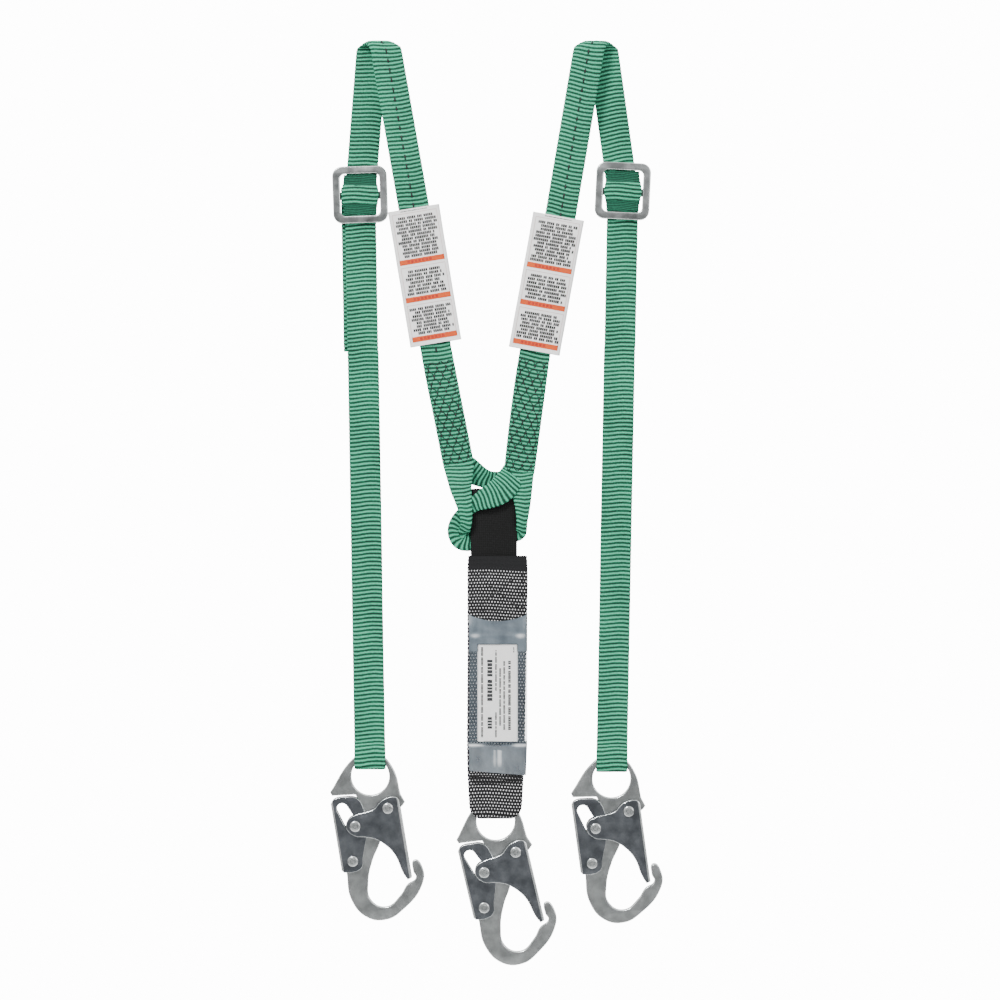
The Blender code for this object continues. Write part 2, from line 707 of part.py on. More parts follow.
def add_pack(meshes):
    """Everything that hangs from the black loop."""
    hinge = at(PACK_X, Y_INNER / MM, PACK_FLEX_Z)
    pivot = add_pivot("pack_flex", hinge)
    eye = at(PACK_EYE[0], Y_INNER / MM, PACK_EYE[1])
    flex = eye + at(0, 0, PACK_FLEX_ABOVE_EYE)
    foot = (flex - hinge).z / MM + PACK_FLEX_GAP / MM
    add_part("pack_casing_webbing", casing_mesh(foot), "grey_webbing", parent=pivot)
    core = flat_mesh("core", folded_outline(8, 2.2, 0.4, -31, -143), [], 44 * MM, SIDEWAYS)
    add_part("pack_tear_webbing", core, "grey_webbing", parent=pivot)
    wrap_outline = rounded_rectangle(48.9, 29.9, 2.1, 3)
    wrap_inside = rounded_rectangle(47.7, 28.7, 1.5, 3)
    wrap = flat_mesh("wrap", wrap_outline, [wrap_inside], 111 * MM, Matrix.Identity(4))
    add_part("pack_shrink_wrap", wrap, "shrink_wrap", at(0, 0, -105), pivot)
    card = flat_mesh("card", rounded_rectangle(33, 79, 1, 1), [], 0.3 * MM, UPRIGHT, at(0, -13.9, 0))
    add_part("pack_inner_label", card, "label_white", at(0, 0, -113), pivot)
    swing = add_hook("pack", eye, PACK_TILT, flex, meshes, pivot)
    bpy.context.view_layer.update()
    top = flex - eye - Vector((0, 0, PACK_FLEX_GAP))
    route = hook_webbing_route(5 * MM, 42 * MM, top, 1.0)
    add_hook_webbing("pack_hook_webbing", eye, route, 5 * MM, "grey_webbing", swing)


def add_leg(name, leg, meshes, frame_mesh):
    add_leg_webbing(name, leg)
    add_return_webbing(name, leg)
    add_label(name, leg)
    add_buckle(name, leg, frame_mesh)
    eye = at(leg["eye"][0], Y_HOOK / MM, leg["eye"][1])
    flex = flex_point(leg)
    swing = add_hook(name, eye, leg["tilt"], flex, meshes)
    bpy.context.view_layer.update()
    top = flex - eye - Vector((0, 0, FLEX_GAP))
    route = hook_webbing_route(WEB_T, WEB_W, top)
    add_hook_webbing(name + "_hook_webbing", eye, route, WEB_T, "green_webbing", swing)


clear_scene()
PARTS = new_collection("shock_absorbing_lanyard")
CUTTERS = new_collection("cutters")
WORK = new_collection("work")
HOOK_MESHES = hook_meshes()
BUCKLE_MESH = buckle_frame_mesh()
for leg_name, leg_sizes in LEGS.items():
    add_leg(leg_name, leg_sizes, HOOK_MESHES, BUCKLE_MESH)
add_pack_loop()
add_pack(HOOK_MESHES)
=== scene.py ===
"""Looks of the shock absorbing lanyard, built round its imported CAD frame.

Metres, +Z up, +X right, -Y the front. Lengths written in millimetres go through at() or MM.
"""
import json
import random
from collections import namedtuple
from math import asin, atan2, cos, exp, pi, radians, sin, tan

import bmesh
import bpy
import numpy as np
from mathutils import Matrix, Vector


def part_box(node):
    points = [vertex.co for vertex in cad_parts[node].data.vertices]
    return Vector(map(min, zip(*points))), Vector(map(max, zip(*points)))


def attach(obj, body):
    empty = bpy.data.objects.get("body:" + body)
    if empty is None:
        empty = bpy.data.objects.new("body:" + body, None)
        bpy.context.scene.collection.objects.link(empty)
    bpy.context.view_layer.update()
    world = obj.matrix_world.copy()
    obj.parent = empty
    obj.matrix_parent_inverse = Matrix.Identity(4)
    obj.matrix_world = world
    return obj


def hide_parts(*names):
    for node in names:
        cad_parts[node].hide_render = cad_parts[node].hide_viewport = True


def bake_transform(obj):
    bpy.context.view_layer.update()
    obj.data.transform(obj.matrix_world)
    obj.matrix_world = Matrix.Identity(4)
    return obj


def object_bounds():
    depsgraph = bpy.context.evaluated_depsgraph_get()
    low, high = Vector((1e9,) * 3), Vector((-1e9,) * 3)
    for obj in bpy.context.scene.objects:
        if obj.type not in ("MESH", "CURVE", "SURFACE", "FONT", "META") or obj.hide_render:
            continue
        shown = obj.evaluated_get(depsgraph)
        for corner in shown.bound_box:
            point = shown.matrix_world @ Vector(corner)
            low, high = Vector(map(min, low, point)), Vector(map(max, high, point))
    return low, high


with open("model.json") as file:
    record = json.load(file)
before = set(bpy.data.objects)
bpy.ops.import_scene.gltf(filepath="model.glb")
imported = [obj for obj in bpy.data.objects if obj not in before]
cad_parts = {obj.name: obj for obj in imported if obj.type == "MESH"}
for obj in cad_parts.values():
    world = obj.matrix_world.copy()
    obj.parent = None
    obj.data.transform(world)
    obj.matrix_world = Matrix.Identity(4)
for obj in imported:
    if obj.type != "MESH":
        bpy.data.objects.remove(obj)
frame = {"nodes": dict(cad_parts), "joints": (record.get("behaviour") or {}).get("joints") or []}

CAD_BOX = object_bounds()
JOINTS = {joint["name"]: joint for joint in frame["joints"]}
MM = 0.001
FRONT = Vector((0, -1, 0))
UPRIGHT = Matrix.Rotation(pi / 2, 4, "X")                        # outline (x, y) to world (x, z)
SIDEWAYS = Matrix(((0, 0, 1), (1, 0, 0), (0, 1, 0))).to_4x4()    # outline (x, y) to world (y, z)
DICE = random.Random(7)

# driving sizes

GAP = 0.3 * MM                  # kept between pieces that touch
WEB_W = 25.4 * MM               # leg webbing
WEB_T = 2.2 * MM
LAYER = WEB_T + GAP             # from the middle of one webbing layer to the next
FOLD_R = 5.0 * MM + WEB_T / 2   # middle of the strap round the hanging rail
FOLD_CUP = 2.0 * MM             # droop of the strap's edges over the rail
LEVEL_REACH = 14 * MM           # how far from the rail the ribs turn level
Y_INNER = -FOLD_R
Y_OUTER = FOLD_R
RIB = 3.3 * MM                  # pitch of the webbing's crosswise ribs
RIB_DEPTH = 0.36 * MM
STEP = 0.70 * MM                # spacing of a strap's rings
EASE = 1.6 * MM                 # how far a strap's bends are eased
THREAD_R = 0.40 * MM
STITCH = 4.0 * MM
STITCH_PITCH = 8.0 * MM
SMALL_STITCH = (2.4 * MM, 3.2 * MM)    # length and pitch on the buckle's sewn tail
BOX_STITCH = (2.6 * MM, 3.2 * MM)      # the same for the box at the top of the pack

LEGS = {
    "left": {
        "side": -1, "fold_x": -92.3, "lean_in": -12.0, "lean_out": -7.6, "skew": (3.8, -5.0),
        "inner": ((-26.7, -342.0), (-35.0, -300.0), (-45.3, -247.0), (-64.2, -126.5)),
        "label_lean": 9.4, "sewn": (-253.0, -340.0), "tail_aside": -3.3,
    },
    "right": {
        "side": 1, "fold_x": 85.3, "lean_in": 11.8, "lean_out": 11.0, "skew": (-3.4, 4.6),
        "inner": ((22.6, -348.0), (28.0, -300.0), (36.0, -247.0), (56.8, -135.5)),
        "label_lean": -10.3, "sewn": (-253.0, -346.0), "tail_aside": 0.4,
    },
}
TAIL_LENGTH = 125               # mm of sewn tail under the buckle
BAR_HALF_H = 3.2                # mm, half the height of the buckle's centre bar

PLATE_T = 6                     # mm, hook body
LEVER_T, LEVER_HALF = 1.2, 4.5  # mm, sheet and half the width over the lever channel
GATE_T, GATE_HALF = 1.5, 6.3    # mm, the same for the gate channel
EYE_R, EYE_TOP = 15.6, 10.2     # mm, the eye's round part and the height of its flat top
GATE_PIVOT = (10.3, -27.9)      # mm in a hook's own frame, from the centre of its eye
GATE_PIN = (-18.5, -38.2)
LEVER_PIVOT = (-25.2, -66.4)
GATE_EDGE, LEVER_EDGE = 20.4, -35.6    # mm, x of each channel's folded side
FOLD_BAND = 1.7                 # mm, strip along a fold painted bright as the bend's highlight
HOLE_R = 2.8                    # mm, rivet holes
POCKET_R, POCKET_FLOOR = 6.5, 0.4    # mm, the round pocket behind each of the plate's rivet holes

PACK_TURN = (46 * MM, 43 * MM, 27 * MM)    # the pack webbing's widths from its foot down into the hook's eye
LABEL_SIZE = (42.2, 112.0)      # mm, warning label
RULE = 0.35                     # mm, width of the label's thin rules
CASING_HALVES = ((0.0, 0.5), (0.5, 1.0))    # the casing strap's front run and back run
CASING_FACE = 1.25 * MM         # from the middle of the casing's webbing to the threads on it
BOX_TOP, BOX_FOOT, BOX_HALF = -429.5, -460.0, 20.0    # mm, box of stitches at the top of the pack
FOOT_SEAM, FOOT_ROWS = -595.0, 6    # mm, height of the seam's top row, and its rows
WRAP_SEALS = (-480.5, -569.5)   # mm, heights of the film's two seals
WRAP_PULL = -565.0              # mm, where the film starts to pull in
CARD_SIZE = (33.0, 79.0)        # mm, label under the wrap
CARD_LINES = (                  # mm: across the card, middle of the line, its length, its height
    (-12.6, 0.5, 73, 1.7), (-6.3, 10, 33, 4.4), (-6.3, -23.5, 11, 4.0), (-1.3, 18, 32, 1.4),
    (-1.3, -26, 20, 1.4), (2.1, -3, 47, 1.5), (5.4, -2, 56, 1.5), (9.7, -2, 56, 2.3), (13.2, 35, 4, 0.9),
)

CAMERA_AT = (0.007, -2.28, -0.370)
BACKDROP = 14.0                 # brightness of the white behind the lanyard
FLOOR_DROP = 0.34               # floor under the lanyard's lowest point
FLOOR_HALF = 1.6

Station = namedtuple("Station", "centre normal width")


def at(x, y, z):
    """A point given in millimetres, in metres."""
    return Vector((x, y, z)) * MM


def joint_place(name):
    return Vector(JOINTS[name]["pos_m"])


# materials

def new_material(name, roughness, metallic=0.0):
    """A material with its node tree and its shader."""
    material = bpy.data.materials.new(name)
    material.use_nodes = True
    tree = material.node_tree
    shader = tree.nodes["Principled BSDF"]
    shader.inputs["Roughness"].default_value = roughness
    shader.inputs["Metallic"].default_value = metallic
    return material, tree, shader


def link(tree, source, target):
    tree.links.new(source, target)


def maths(tree, operation, *values):
    """A Math node. Each input is a socket or a number."""
    node = tree.nodes.new("ShaderNodeMath")
    node.operation = operation
    for socket, value in zip(node.inputs, values):
        if isinstance(value, (int, float)):
            socket.default_value = value
        else:
            link(tree, value, socket)
    return node.outputs[0]


def strap_coordinates(tree):
    """Metres across and along a strap, from its UV map."""
    uv = tree.nodes.new("ShaderNodeUVMap")
    uv.uv_map = "UVMap"
    split = tree.nodes.new("ShaderNodeSeparateXYZ")
    link(tree, uv.outputs["UV"], split.inputs[0])
    return uv.outputs["UV"], split.outputs["X"], split.outputs["Y"]


def ripple(tree, coordinate, pitch, phase=0.0):
    """0 to 1 and back once in each pitch."""
    angle = maths(tree, "MULTIPLY_ADD", coordinate, 2 * pi / pitch, phase)
    return maths(tree, "MULTIPLY_ADD", maths(tree, "COSINE", angle), 0.5, 0.5)


def noise(tree, scale, detail=3.0, vector=None, stretch=None):
    node = tree.nodes.new("ShaderNodeTexNoise")
    node.inputs["Scale"].default_value = scale
    node.inputs["Detail"].default_value = detail
    if vector is None:
        vector = tree.nodes.new("ShaderNodeTexCoord").outputs["Object"]
    if stretch:
        mapping = tree.nodes.new("ShaderNodeMapping")
        mapping.inputs["Scale"].default_value = stretch
        link(tree, vector, mapping.inputs["Vector"])
        vector = mapping.outputs["Vector"]
    link(tree, vector, node.inputs["Vector"])
    return node.outputs["Fac"]


def ramp(tree, fac, stops):
    """A colour ramp from (position, colour) stops."""
    node = tree.nodes.new("ShaderNodeValToRGB")
    elements = node.color_ramp.elements
    while len(elements) < len(stops):
        elements.new(0.5)
    for element, (position, colour) in zip(elements, stops):
        element.position = position
        element.color = (*colour, 1)
    link(tree, fac, node.inputs["Fac"])
    return node.outputs["Color"]


def bump(tree, shader, height, distance, strength=1.0):
    node = tree.nodes.new("ShaderNodeBump")
    node.inputs["Strength"].default_value = strength
    node.inputs["Distance"].default_value = distance
    link(tree, height, node.inputs["Height"])
    link(tree, node.outputs["Normal"], shader.inputs["Normal"])


def webbing_material(name, dark, middle, light, rib_pitch, rib_share=0.55, thread=0.9 * MM, shine=0.22):
    """Woven strap: ribs across it, fine threads along it, and uneven dye. Its colour is darker in the grooves
    between ribs and threads and lighter on their ridges, which is painted shade.
    """
    material, tree, shader = new_material(name, 0.72)
    uv, across, along = strap_coordinates(tree)
    uneven = noise(tree, 1100.0, 2.0, uv, (1.0, 0.45, 1.0))
    dye = noise(tree, 24.0, 2.0, uv)
    waver = maths(tree, "MULTIPLY", noise(tree, 140.0, 2.0, uv), 0.7 * MM)
    ribs = ripple(tree, maths(tree, "ADD", along, waver), rib_pitch, -0.5)
    threads = ripple(tree, across, thread)
    rib_shade = maths(tree, "MULTIPLY", ribs, rib_share)
    height = maths(tree, "ADD", rib_shade, maths(tree, "MULTIPLY", threads, 0.10))
    speckle = maths(tree, "ADD", maths(tree, "MULTIPLY", uneven, 0.34), maths(tree, "MULTIPLY", dye, 0.22))
    # The ribs' and threads' relief sets the colour: grooves get painted shade, ridges painted light; the
    # speckle is uneven dye.
    fac = maths(tree, "ADD", height, speckle)
    colour = ramp(tree, fac, ((0.34, dark), (0.62, middle), (0.93, light)))
    link(tree, colour, shader.inputs["Base Color"])
    shader.inputs["Specular IOR Level"].default_value = shine
    bump(tree, shader, maths(tree, "ADD", threads, uneven), 0.12 * MM, 0.8)
    return material


def speck_material(name, ground, speck, row, column):
    """Dark woven strap with staggered rows of light specks."""
    material, tree, shader = new_material(name, 0.82)
    uv, across, along = strap_coordinates(tree)
    rows = ripple(tree, along, row)
    number = maths(tree, "FLOOR", maths(tree, "ADD", maths(tree, "DIVIDE", along, row), 0.5))
    shifted = maths(tree, "ADD", across, maths(tree, "MULTIPLY", number, column * 0.5))
    columns = ripple(tree, shifted, column)
    uneven = noise(tree, 800.0, 2.0, uv)
    spots = maths(tree, "MULTIPLY", maths(tree, "MULTIPLY", rows, columns), maths(tree, "ADD", uneven, 0.5))
    plain_end = maths(tree, "SUBTRACT", maths(tree, "DIVIDE", along, 4 * MM), 2.2)
    plain_end.node.use_clamp = True
    spots = maths(tree, "MULTIPLY", spots, plain_end)
    middle = tuple(c * 3.0 for c in ground)
    colour = ramp(tree, spots, ((0.20, ground), (0.54, middle), (0.78, speck)))
    link(tree, colour, shader.inputs["Base Color"])
    shader.inputs["Specular IOR Level"].default_value = 0.15
    weave = maths(tree, "ADD", ripple(tree, across, 1.1 * MM), spots)
    bump(tree, shader, maths(tree, "ADD", weave, uneven), 0.14 * MM, 0.9)
    return material


def metal_material(name, dull, clean, roughness, grain=700.0):
    """Plated steel: clouded plating over a fine grain."""
    material, tree, shader = new_material(name, roughness, 1.0)
    cloud = noise(tree, 90.0, 6.0)
    link(tree, ramp(tree, cloud, ((0.35, dull), (0.68, clean))), shader.inputs["Base Color"])
    fine = noise(tree, grain, 4.0, None, (1.0, 1.0, 3.0))
    link(tree, maths(tree, "MULTIPLY_ADD", fine, 0.24, roughness - 0.12), shader.inputs["Roughness"])
    bump(tree, shader, fine, 0.05 * MM, 0.6)
    return material


def plain_cloth_material(name, colour, lighter, roughness, scale=600.0):
    """Thread, ink and other small things: a colour with a slight cloud and a fine surface."""
    material, tree, shader = new_material(name, roughness)
    cloud = noise(tree, scale, 2.0)
    link(tree, ramp(tree, cloud, ((0.35, colour), (0.70, lighter))), shader.inputs["Base Color"])
    bump(tree, shader, cloud, 0.04 * MM, 0.5)
    return material


def film_material(name):
    """Clear heat-shrink film, creased and shiny. Its UV map holds how much painted highlight it has and how
    hazy it is.
    """
    material, tree, shader = new_material(name, 0.10)
    shader.inputs["Coat Weight"].default_value = 1.0
    shader.inputs["Coat Roughness"].default_value = 0.05
    shader.inputs["IOR"].default_value = 1.55
    _, glint, hazy = strap_coordinates(tree)
    creases = noise(tree, 38.0, 6.0, None, (1.6, 1.0, 0.8))
    # The glint lightens the colour to near white and makes the film more opaque: painted highlights. The
    # crease noise clouds and lightens it in streaks, partly painted crease highlights.
    shade = maths(tree, "ADD", maths(tree, "MULTIPLY", creases, 0.5), maths(tree, "MULTIPLY", glint, 0.7))
    stops = ((0.16, (0.070, 0.093, 0.115)), (0.36, (0.145, 0.180, 0.210)), (1.0, (0.93, 0.95, 0.96)))
    link(tree, ramp(tree, shade, stops), shader.inputs["Base Color"])
    uneven = maths(tree, "MULTIPLY_ADD", creases, 0.8, 0.6)
    haze = maths(tree, "MULTIPLY_ADD", hazy, uneven, maths(tree, "MULTIPLY", glint, 0.8))
    haze.node.use_clamp = True
    link(tree, haze, shader.inputs["Alpha"])
    bump(tree, shader, creases, 1.5 * MM, 0.8)
    return material


MATERIALS = {
    "green_webbing": webbing_material(
        "green_webbing", (0.001, 0.026, 0.012), (0.012, 0.192, 0.102), (0.102, 0.540, 0.325), RIB),
    # Strap inside the buckle's window: finer ribs, and darker colours that are painted shade from the frame
    # over it.
    "close_webbing": webbing_material(
        "close_webbing", (0.001, 0.020, 0.010), (0.006, 0.095, 0.052), (0.024, 0.200, 0.118), 1.45 * MM,
        0.40),
    "black_webbing": webbing_material(
        "black_webbing", (0.006, 0.006, 0.006), (0.014, 0.014, 0.015), (0.034, 0.034, 0.035), 1.9 * MM, 0.12,
        1.7 * MM, 0.12),
    "grey_webbing": speck_material(
        "grey_webbing", (0.011, 0.011, 0.012), (0.80, 0.80, 0.81), 2.55 * MM, 2.4 * MM),
    "plate_steel": metal_material("plate_steel", (0.23, 0.243, 0.243), (0.39, 0.41, 0.41), 0.38),
    "sheet_steel": metal_material("sheet_steel", (0.088, 0.096, 0.107), (0.170, 0.183, 0.200), 0.34),
    # Bright edges and fold strips: worn plating, and a painted highlight where rounded edges and folds catch
    # the light.
    "worn_edge": metal_material("worn_edge", (0.62, 0.66, 0.66), (0.86, 0.88, 0.88), 0.26),
    "buckle_steel": metal_material("buckle_steel", (0.16, 0.17, 0.17), (0.40, 0.42, 0.42), 0.34, 1500.0),
    "bright_steel": metal_material("bright_steel", (0.42, 0.44, 0.44), (0.66, 0.68, 0.68), 0.24),
    "label_white": plain_cloth_material("label_white", (0.94, 0.93, 0.915), (0.975, 0.97, 0.96), 0.55, 200.0),
    "shrink_wrap": film_material("shrink_wrap"),
    "black_thread": plain_cloth_material("black_thread", (0.003, 0.003, 0.004), (0.014, 0.014, 0.016), 0.7),
    "ink_black": plain_cloth_material("ink_black", (0.012, 0.012, 0.014), (0.03, 0.03, 0.032), 0.6),
    "ink_orange": plain_cloth_material("ink_orange", (0.60, 0.062, 0.002), (0.68, 0.088, 0.005), 0.5, 250.0),
    "ink_red": plain_cloth_material("ink_red", (0.42, 0.015, 0.004), (0.52, 0.03, 0.008), 0.5),
    "ink_pink": plain_cloth_material("ink_pink", (0.60, 0.46, 0.45), (0.70, 0.58, 0.57), 0.6),
}


def shown(name, data):
    obj = bpy.data.objects.new(name, data)
    bpy.context.scene.collection.objects.link(obj)
    return obj


def add_piece(name, mesh, material, body=None, replaced=()):
    """A visible piece in one of the materials above. It rides a body and stands in for CAD nodes."""
    mesh.name = name
    obj = shown(name, mesh)
    if not mesh.materials:
        mesh.materials.append(None)
    mesh.materials[0] = MATERIALS[material]
    if replaced:
        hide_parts(*replaced)
    if body:
        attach(obj, body)
    return obj


def new_mesh(bm):
    mesh = bpy.data.meshes.new("piece")
    bm.to_mesh(mesh)
    bm.free()
    return mesh


def faced_out(bm):
    """The finished mesh, with its faces turned outwards."""
    bmesh.ops.recalc_face_normals(bm, faces=bm.faces)
    return new_mesh(bm)


def from_points(verts, faces):
    mesh = bpy.data.meshes.new("points")
    mesh.from_pydata(verts, [], faces)
    return faced_out(as_bmesh(mesh))


def as_bmesh(*meshes):
    """The meshes in one bmesh. They are used up."""
    bm = bmesh.new()
    for mesh in meshes:
        bm.from_mesh(mesh)
        bpy.data.meshes.remove(mesh)
    return bm


def lay_uv(mesh, places):
    """A UV map from one place for each vertex."""
    layer = mesh.uv_layers.new(name="UVMap")
    corners = np.empty(len(mesh.loops), int)
    mesh.loops.foreach_get("vertex_index", corners)
    layer.data.foreach_set("uv", np.asarray(places, float)[corners].ravel())


def smooth_shaded(mesh, angle=40.0):
    """Smooth shading, with edges sharper than the angle kept crisp."""
    mesh.polygons.foreach_set("use_smooth", [True] * len(mesh.polygons))
    mesh.set_sharp_from_angle(angle=radians(angle))
    return mesh


# straps

class Strap:
    """Stations resampled to even steps: centre, facing, crosswise direction and width of each ring."""

    def __init__(self, stations, step=STEP, ease=EASE):
        columns = np.array([(*s.centre, *s.normal, s.width) for s in stations], float)
        lengths = np.linalg.norm(np.diff(columns[:, :3], axis=0), axis=1)
        place = np.concatenate([[0], np.cumsum(lengths)])
        count = max(int(place[-1] / step), 4)
        self.s = np.linspace(0, place[-1], count + 1)
        even = np.column_stack([np.interp(self.s, place, column) for column in columns.T])
        sigma = ease / self.s[1]
        self.centre = self.eased(even[:, :3], sigma)
        normal = self.eased(even[:, 3:6], sigma)
        self.width = self.eased(even[:, 6:], 2 * sigma)[:, 0]
        along = np.gradient(self.centre, axis=0)
        self.along = along / np.linalg.norm(along, axis=1)[:, None]
        face = normal - self.along * np.sum(self.along * normal, axis=1)[:, None]
        self.face = face / np.linalg.norm(face, axis=1)[:, None]
        self.across = np.cross(self.along, self.face)
        self.cup = np.zeros(len(self.s))

    @staticmethod
    def eased(values, sigma):
        """A running average whose ends stay in place."""
        reach = int(3 * sigma) + 1
        if len(values) <= reach + 1:
            return values
        weights = np.exp(-0.5 * (np.arange(-reach, reach + 1) / sigma) ** 2)
        weights /= weights.sum()
        before, after = 2 * values[0] - values[reach:0:-1], 2 * values[-1] - values[-2:-reach - 2:-1]
        padded = np.vstack([before, values, after])
        return np.column_stack([np.convolve(column, weights, "valid") for column in padded.T])

    def level(self, share):
        """Turns each ring towards the level by its share, which skews the weave."""
        flat = np.array([1.0, 0, 0]) - self.face * self.face[:, :1]
        flat *= np.sign(np.sum(flat * self.across, axis=1))[:, None]
        across = self.across + (flat - self.across) * share[:, None]
        self.across = across / np.linalg.norm(across, axis=1)[:, None]

    def ring_at_z(self, z, first=0.0, last=1.0):
        """The ring nearest a height, within a share of the strap's length."""
        low, high = int(first * len(self.s)), int(last * len(self.s))
        return low + int(np.argmin(np.abs(self.centre[low:high, 2] - z)))

    def surface(self, ring, offset, height):
        """A point on the strap's face, offset across it and height above its middle."""
        ring = min(max(int(round(ring)), 0), len(self.s) - 1)
        return Vector(self.centre[ring] + self.across[ring] * offset + self.face[ring] * height)

    def stitch(self, start, end, height, facing=None):
        """A stitch between two (ring, offset) places."""
        outward = Vector(self.face[int(start[0] if facing is None else facing)])
        return self.surface(*start, height), self.surface(*end, height), outward


# A strap's section: places across its half width, and the share of its thickness it has there.
ACROSS = (-1.0, -0.965, -0.88, -0.66, -0.33, 0.0, 0.33, 0.66, 0.88, 0.965, 1.0)
EDGE = (0.30, 0.74, 0.97, 1.0, 1.0, 1.0, 1.0, 1.0, 0.97, 0.74, 0.30)


def strap_mesh(strap, thickness, rib=RIB, depth=RIB_DEPTH):
    """A woven strap: ribs stand across it on both faces and its edges are scalloped."""
    half = list(zip(ACROSS, EDGE))
    profile = [(*place, 1) for place in half] + [(*place, -1) for place in half[::-1]]
    size = len(profile)
    points, uvs = [], []
    for a, edge, sign in profile:
        skew = 0.22 * RIB * sin(2.3 * a + 0.6)
        ridge = 0.5 + 0.5 * np.cos(2 * pi * (strap.s + skew) / rib)
        out = sign * (edge * thickness / 2 + depth * (ridge - 0.6) * min(1.0, edge + 0.1))
        out = out - strap.cup * a ** 6
        scallop = 1 + (0.022 * (ridge - 0.6) if abs(a) > 0.9 else 0.0)
        aside = strap.width / 2 * a * scallop
        points.append(strap.centre + strap.across * aside[:, None] + strap.face * out[:, None])
        uvs.append(np.column_stack([aside + 0.04 * sign, strap.s + skew]))
    rings = len(strap.s)
    verts = np.stack(points, axis=1).reshape(-1, 3).tolist()
    faces = [
        (i * size + k, (i + 1) * size + k, (i + 1) * size + (k + 1) % size, i * size + (k + 1) % size)
        for i in range(rings - 1) for k in range(size)
    ]
    faces.append(tuple(range(size)))
    faces.append(tuple((rings - 1) * size + k for k in range(size))[::-1])
    mesh = from_points(verts, faces)
    lay_uv(mesh, np.stack(uvs, axis=1).reshape(-1, 2))
    return smooth_shaded(mesh, 80)


def thread_mesh(stitches, radius=THREAD_R):
    """Stitches as short arched threads. Each is (start, end, outward), pressed into the strap at its ends."""
    verts, faces = [], []
    stations, sides = 4, 6
    for start, end, outward in stitches:
        along = (end - start).normalized()
        side = along.cross(outward).normalized()
        first = len(verts)
        for i in range(stations + 1):
            t = i / stations
            lift = radius * (1.1 * sin(pi * t) - 0.55)
            middle = start.lerp(end, t) + outward * lift
            thin = radius * (0.62 + 0.38 * sin(pi * t))
            for k in range(sides):
                turn = 2 * pi * k / sides
                verts.append(middle + side * thin * cos(turn) + outward * thin * sin(turn))
        for i in range(stations):
            for k in range(sides):
                a, b = first + i * sides + k, first + i * sides + (k + 1) % sides
                faces.append((a, b, b + sides, a + sides))
        faces.append(tuple(first + k for k in range(sides))[::-1])
        faces.append(tuple(first + stations * sides + k for k in range(sides)))
    return smooth_shaded(from_points(verts, faces), 60)


# leg straps

def eye_route(side):
    """The leg's sewn eye, from its back layer round the crown of the black loop to its front layer."""
    middle = Y_INNER / MM
    if side < 0:
        places = (
            (-19.5, 2.5, -345, 22), (-4, 5.6, -353, 15), (12, 7.2, -354, 13), (22, 8.0, -361, 11),
            (25.5, 5, -375, 11), (21, 1.35, -388, 13), (5, 1.35, -394, 16), (-12, 1.35, -394, 15),
            (-19.5, 0.6, -397, 12), (-22.5, -5, -396, 9), (-20.5, -10.5, -389, 9), (-21.5, -11, -377, 12),
            (-25.2, -6.5, -360, 18),
        )
    else:
        places = (
            (19, 2.2, -347, 20), (14.5, -5, -354, 22), (7, -9, -362.5, 22), (-4, -9.5, -368.5, 18),
            (-14, -8, -373.5, 12), (-22, -6, -380, 11), (-28, -4, -388, 12), (-29.5, -2.2, -397, 13),
            (-24, -1.35, -405, 13), (-8, -1.35, -404, 13), (6, -1.35, -400, 14), (18, -1.35, -399, 12),
            (24, -4, -397, 9), (25, -8.5, -388, 9), (25.5, -7.8, -374, 13), (24.6, -4, -361, 18),
        )
    return [Station(at(x, middle + y, z), FRONT, width * MM) for x, y, z, width in places]


def smooth_route(stations, steps):
    """Stations on a smooth curve through the given ones."""
    result = []
    last = len(stations) - 1
    for i in range(last):
        a, b = stations[max(i - 1, 0)], stations[i]
        c, d = stations[i + 1], stations[min(i + 2, last)]
        for k in range(steps):
            t = k / steps
            result.append(Station(*(
                b[j] + ((c[j] - a[j]) * t + (2 * a[j] - 5 * b[j] + 4 * c[j] - d[j]) * t ** 2
                        + (3 * b[j] - a[j] - 3 * c[j] + d[j]) * t ** 3) / 2
                for j in range(3)
            )))
    return result + [stations[-1]]


def inner_run(leg):
    return [Station(at(x, Y_INNER / MM, z), FRONT, WEB_W) for x, z in leg["inner"]]


def sewn_layer(leg):
    """The strap's end behind the sewn zone, from its top edge down."""
    y = (Y_INNER + LAYER) / MM
    (low_x, low_z), (high_x, high_z) = leg["inner"][0], leg["inner"][2]
    return [
        Station(at(low_x + (high_x - low_x) * t, y, low_z + (high_z - low_z) * t), FRONT, WEB_W)
        for t in (0.97, 0.5, 0.0)
    ]


def fold(leg, steps=24):
    """The half turn over the rail. The strap leans, so it wraps the rail as a helix."""
    result = []
    for k in range(steps + 1):
        turn = pi * k / steps
        lean = radians(leg["lean_in"] + (leg["lean_out"] - leg["lean_in"]) * k / steps)
        drift = (turn - pi / 2) * FOLD_R * tan(lean)
        outward = Vector((0, -cos(turn), sin(turn)))
        near, far = leg["skew"]
        centre = at(leg["fold_x"] + near + (far - near) * k / steps, 0, 0)
        centre += Vector((drift, 0, 0)) + outward * FOLD_R
        result.append(Station(centre, outward, WEB_W * (1 - 0.10 * sin(turn) ** 2)))
    return result


class LegFrame:
    """Where a leg's buckle, flexing line and hook are, from the frame's joints."""

    def __init__(self, name):
        self.name = name
        self.leg = LEGS[name]
        self.flex = joint_place(name + "_hook_flex")
        self.up = Vector(JOINTS[name + "_buckle_slide"]["axis"])
        self.down = -self.up
        low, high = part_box(name + "_slide_buckle")
        self.buckle = Vector(((low[0] + high[0]) / 2, Y_OUTER, (low[2] + high[2]) / 2))


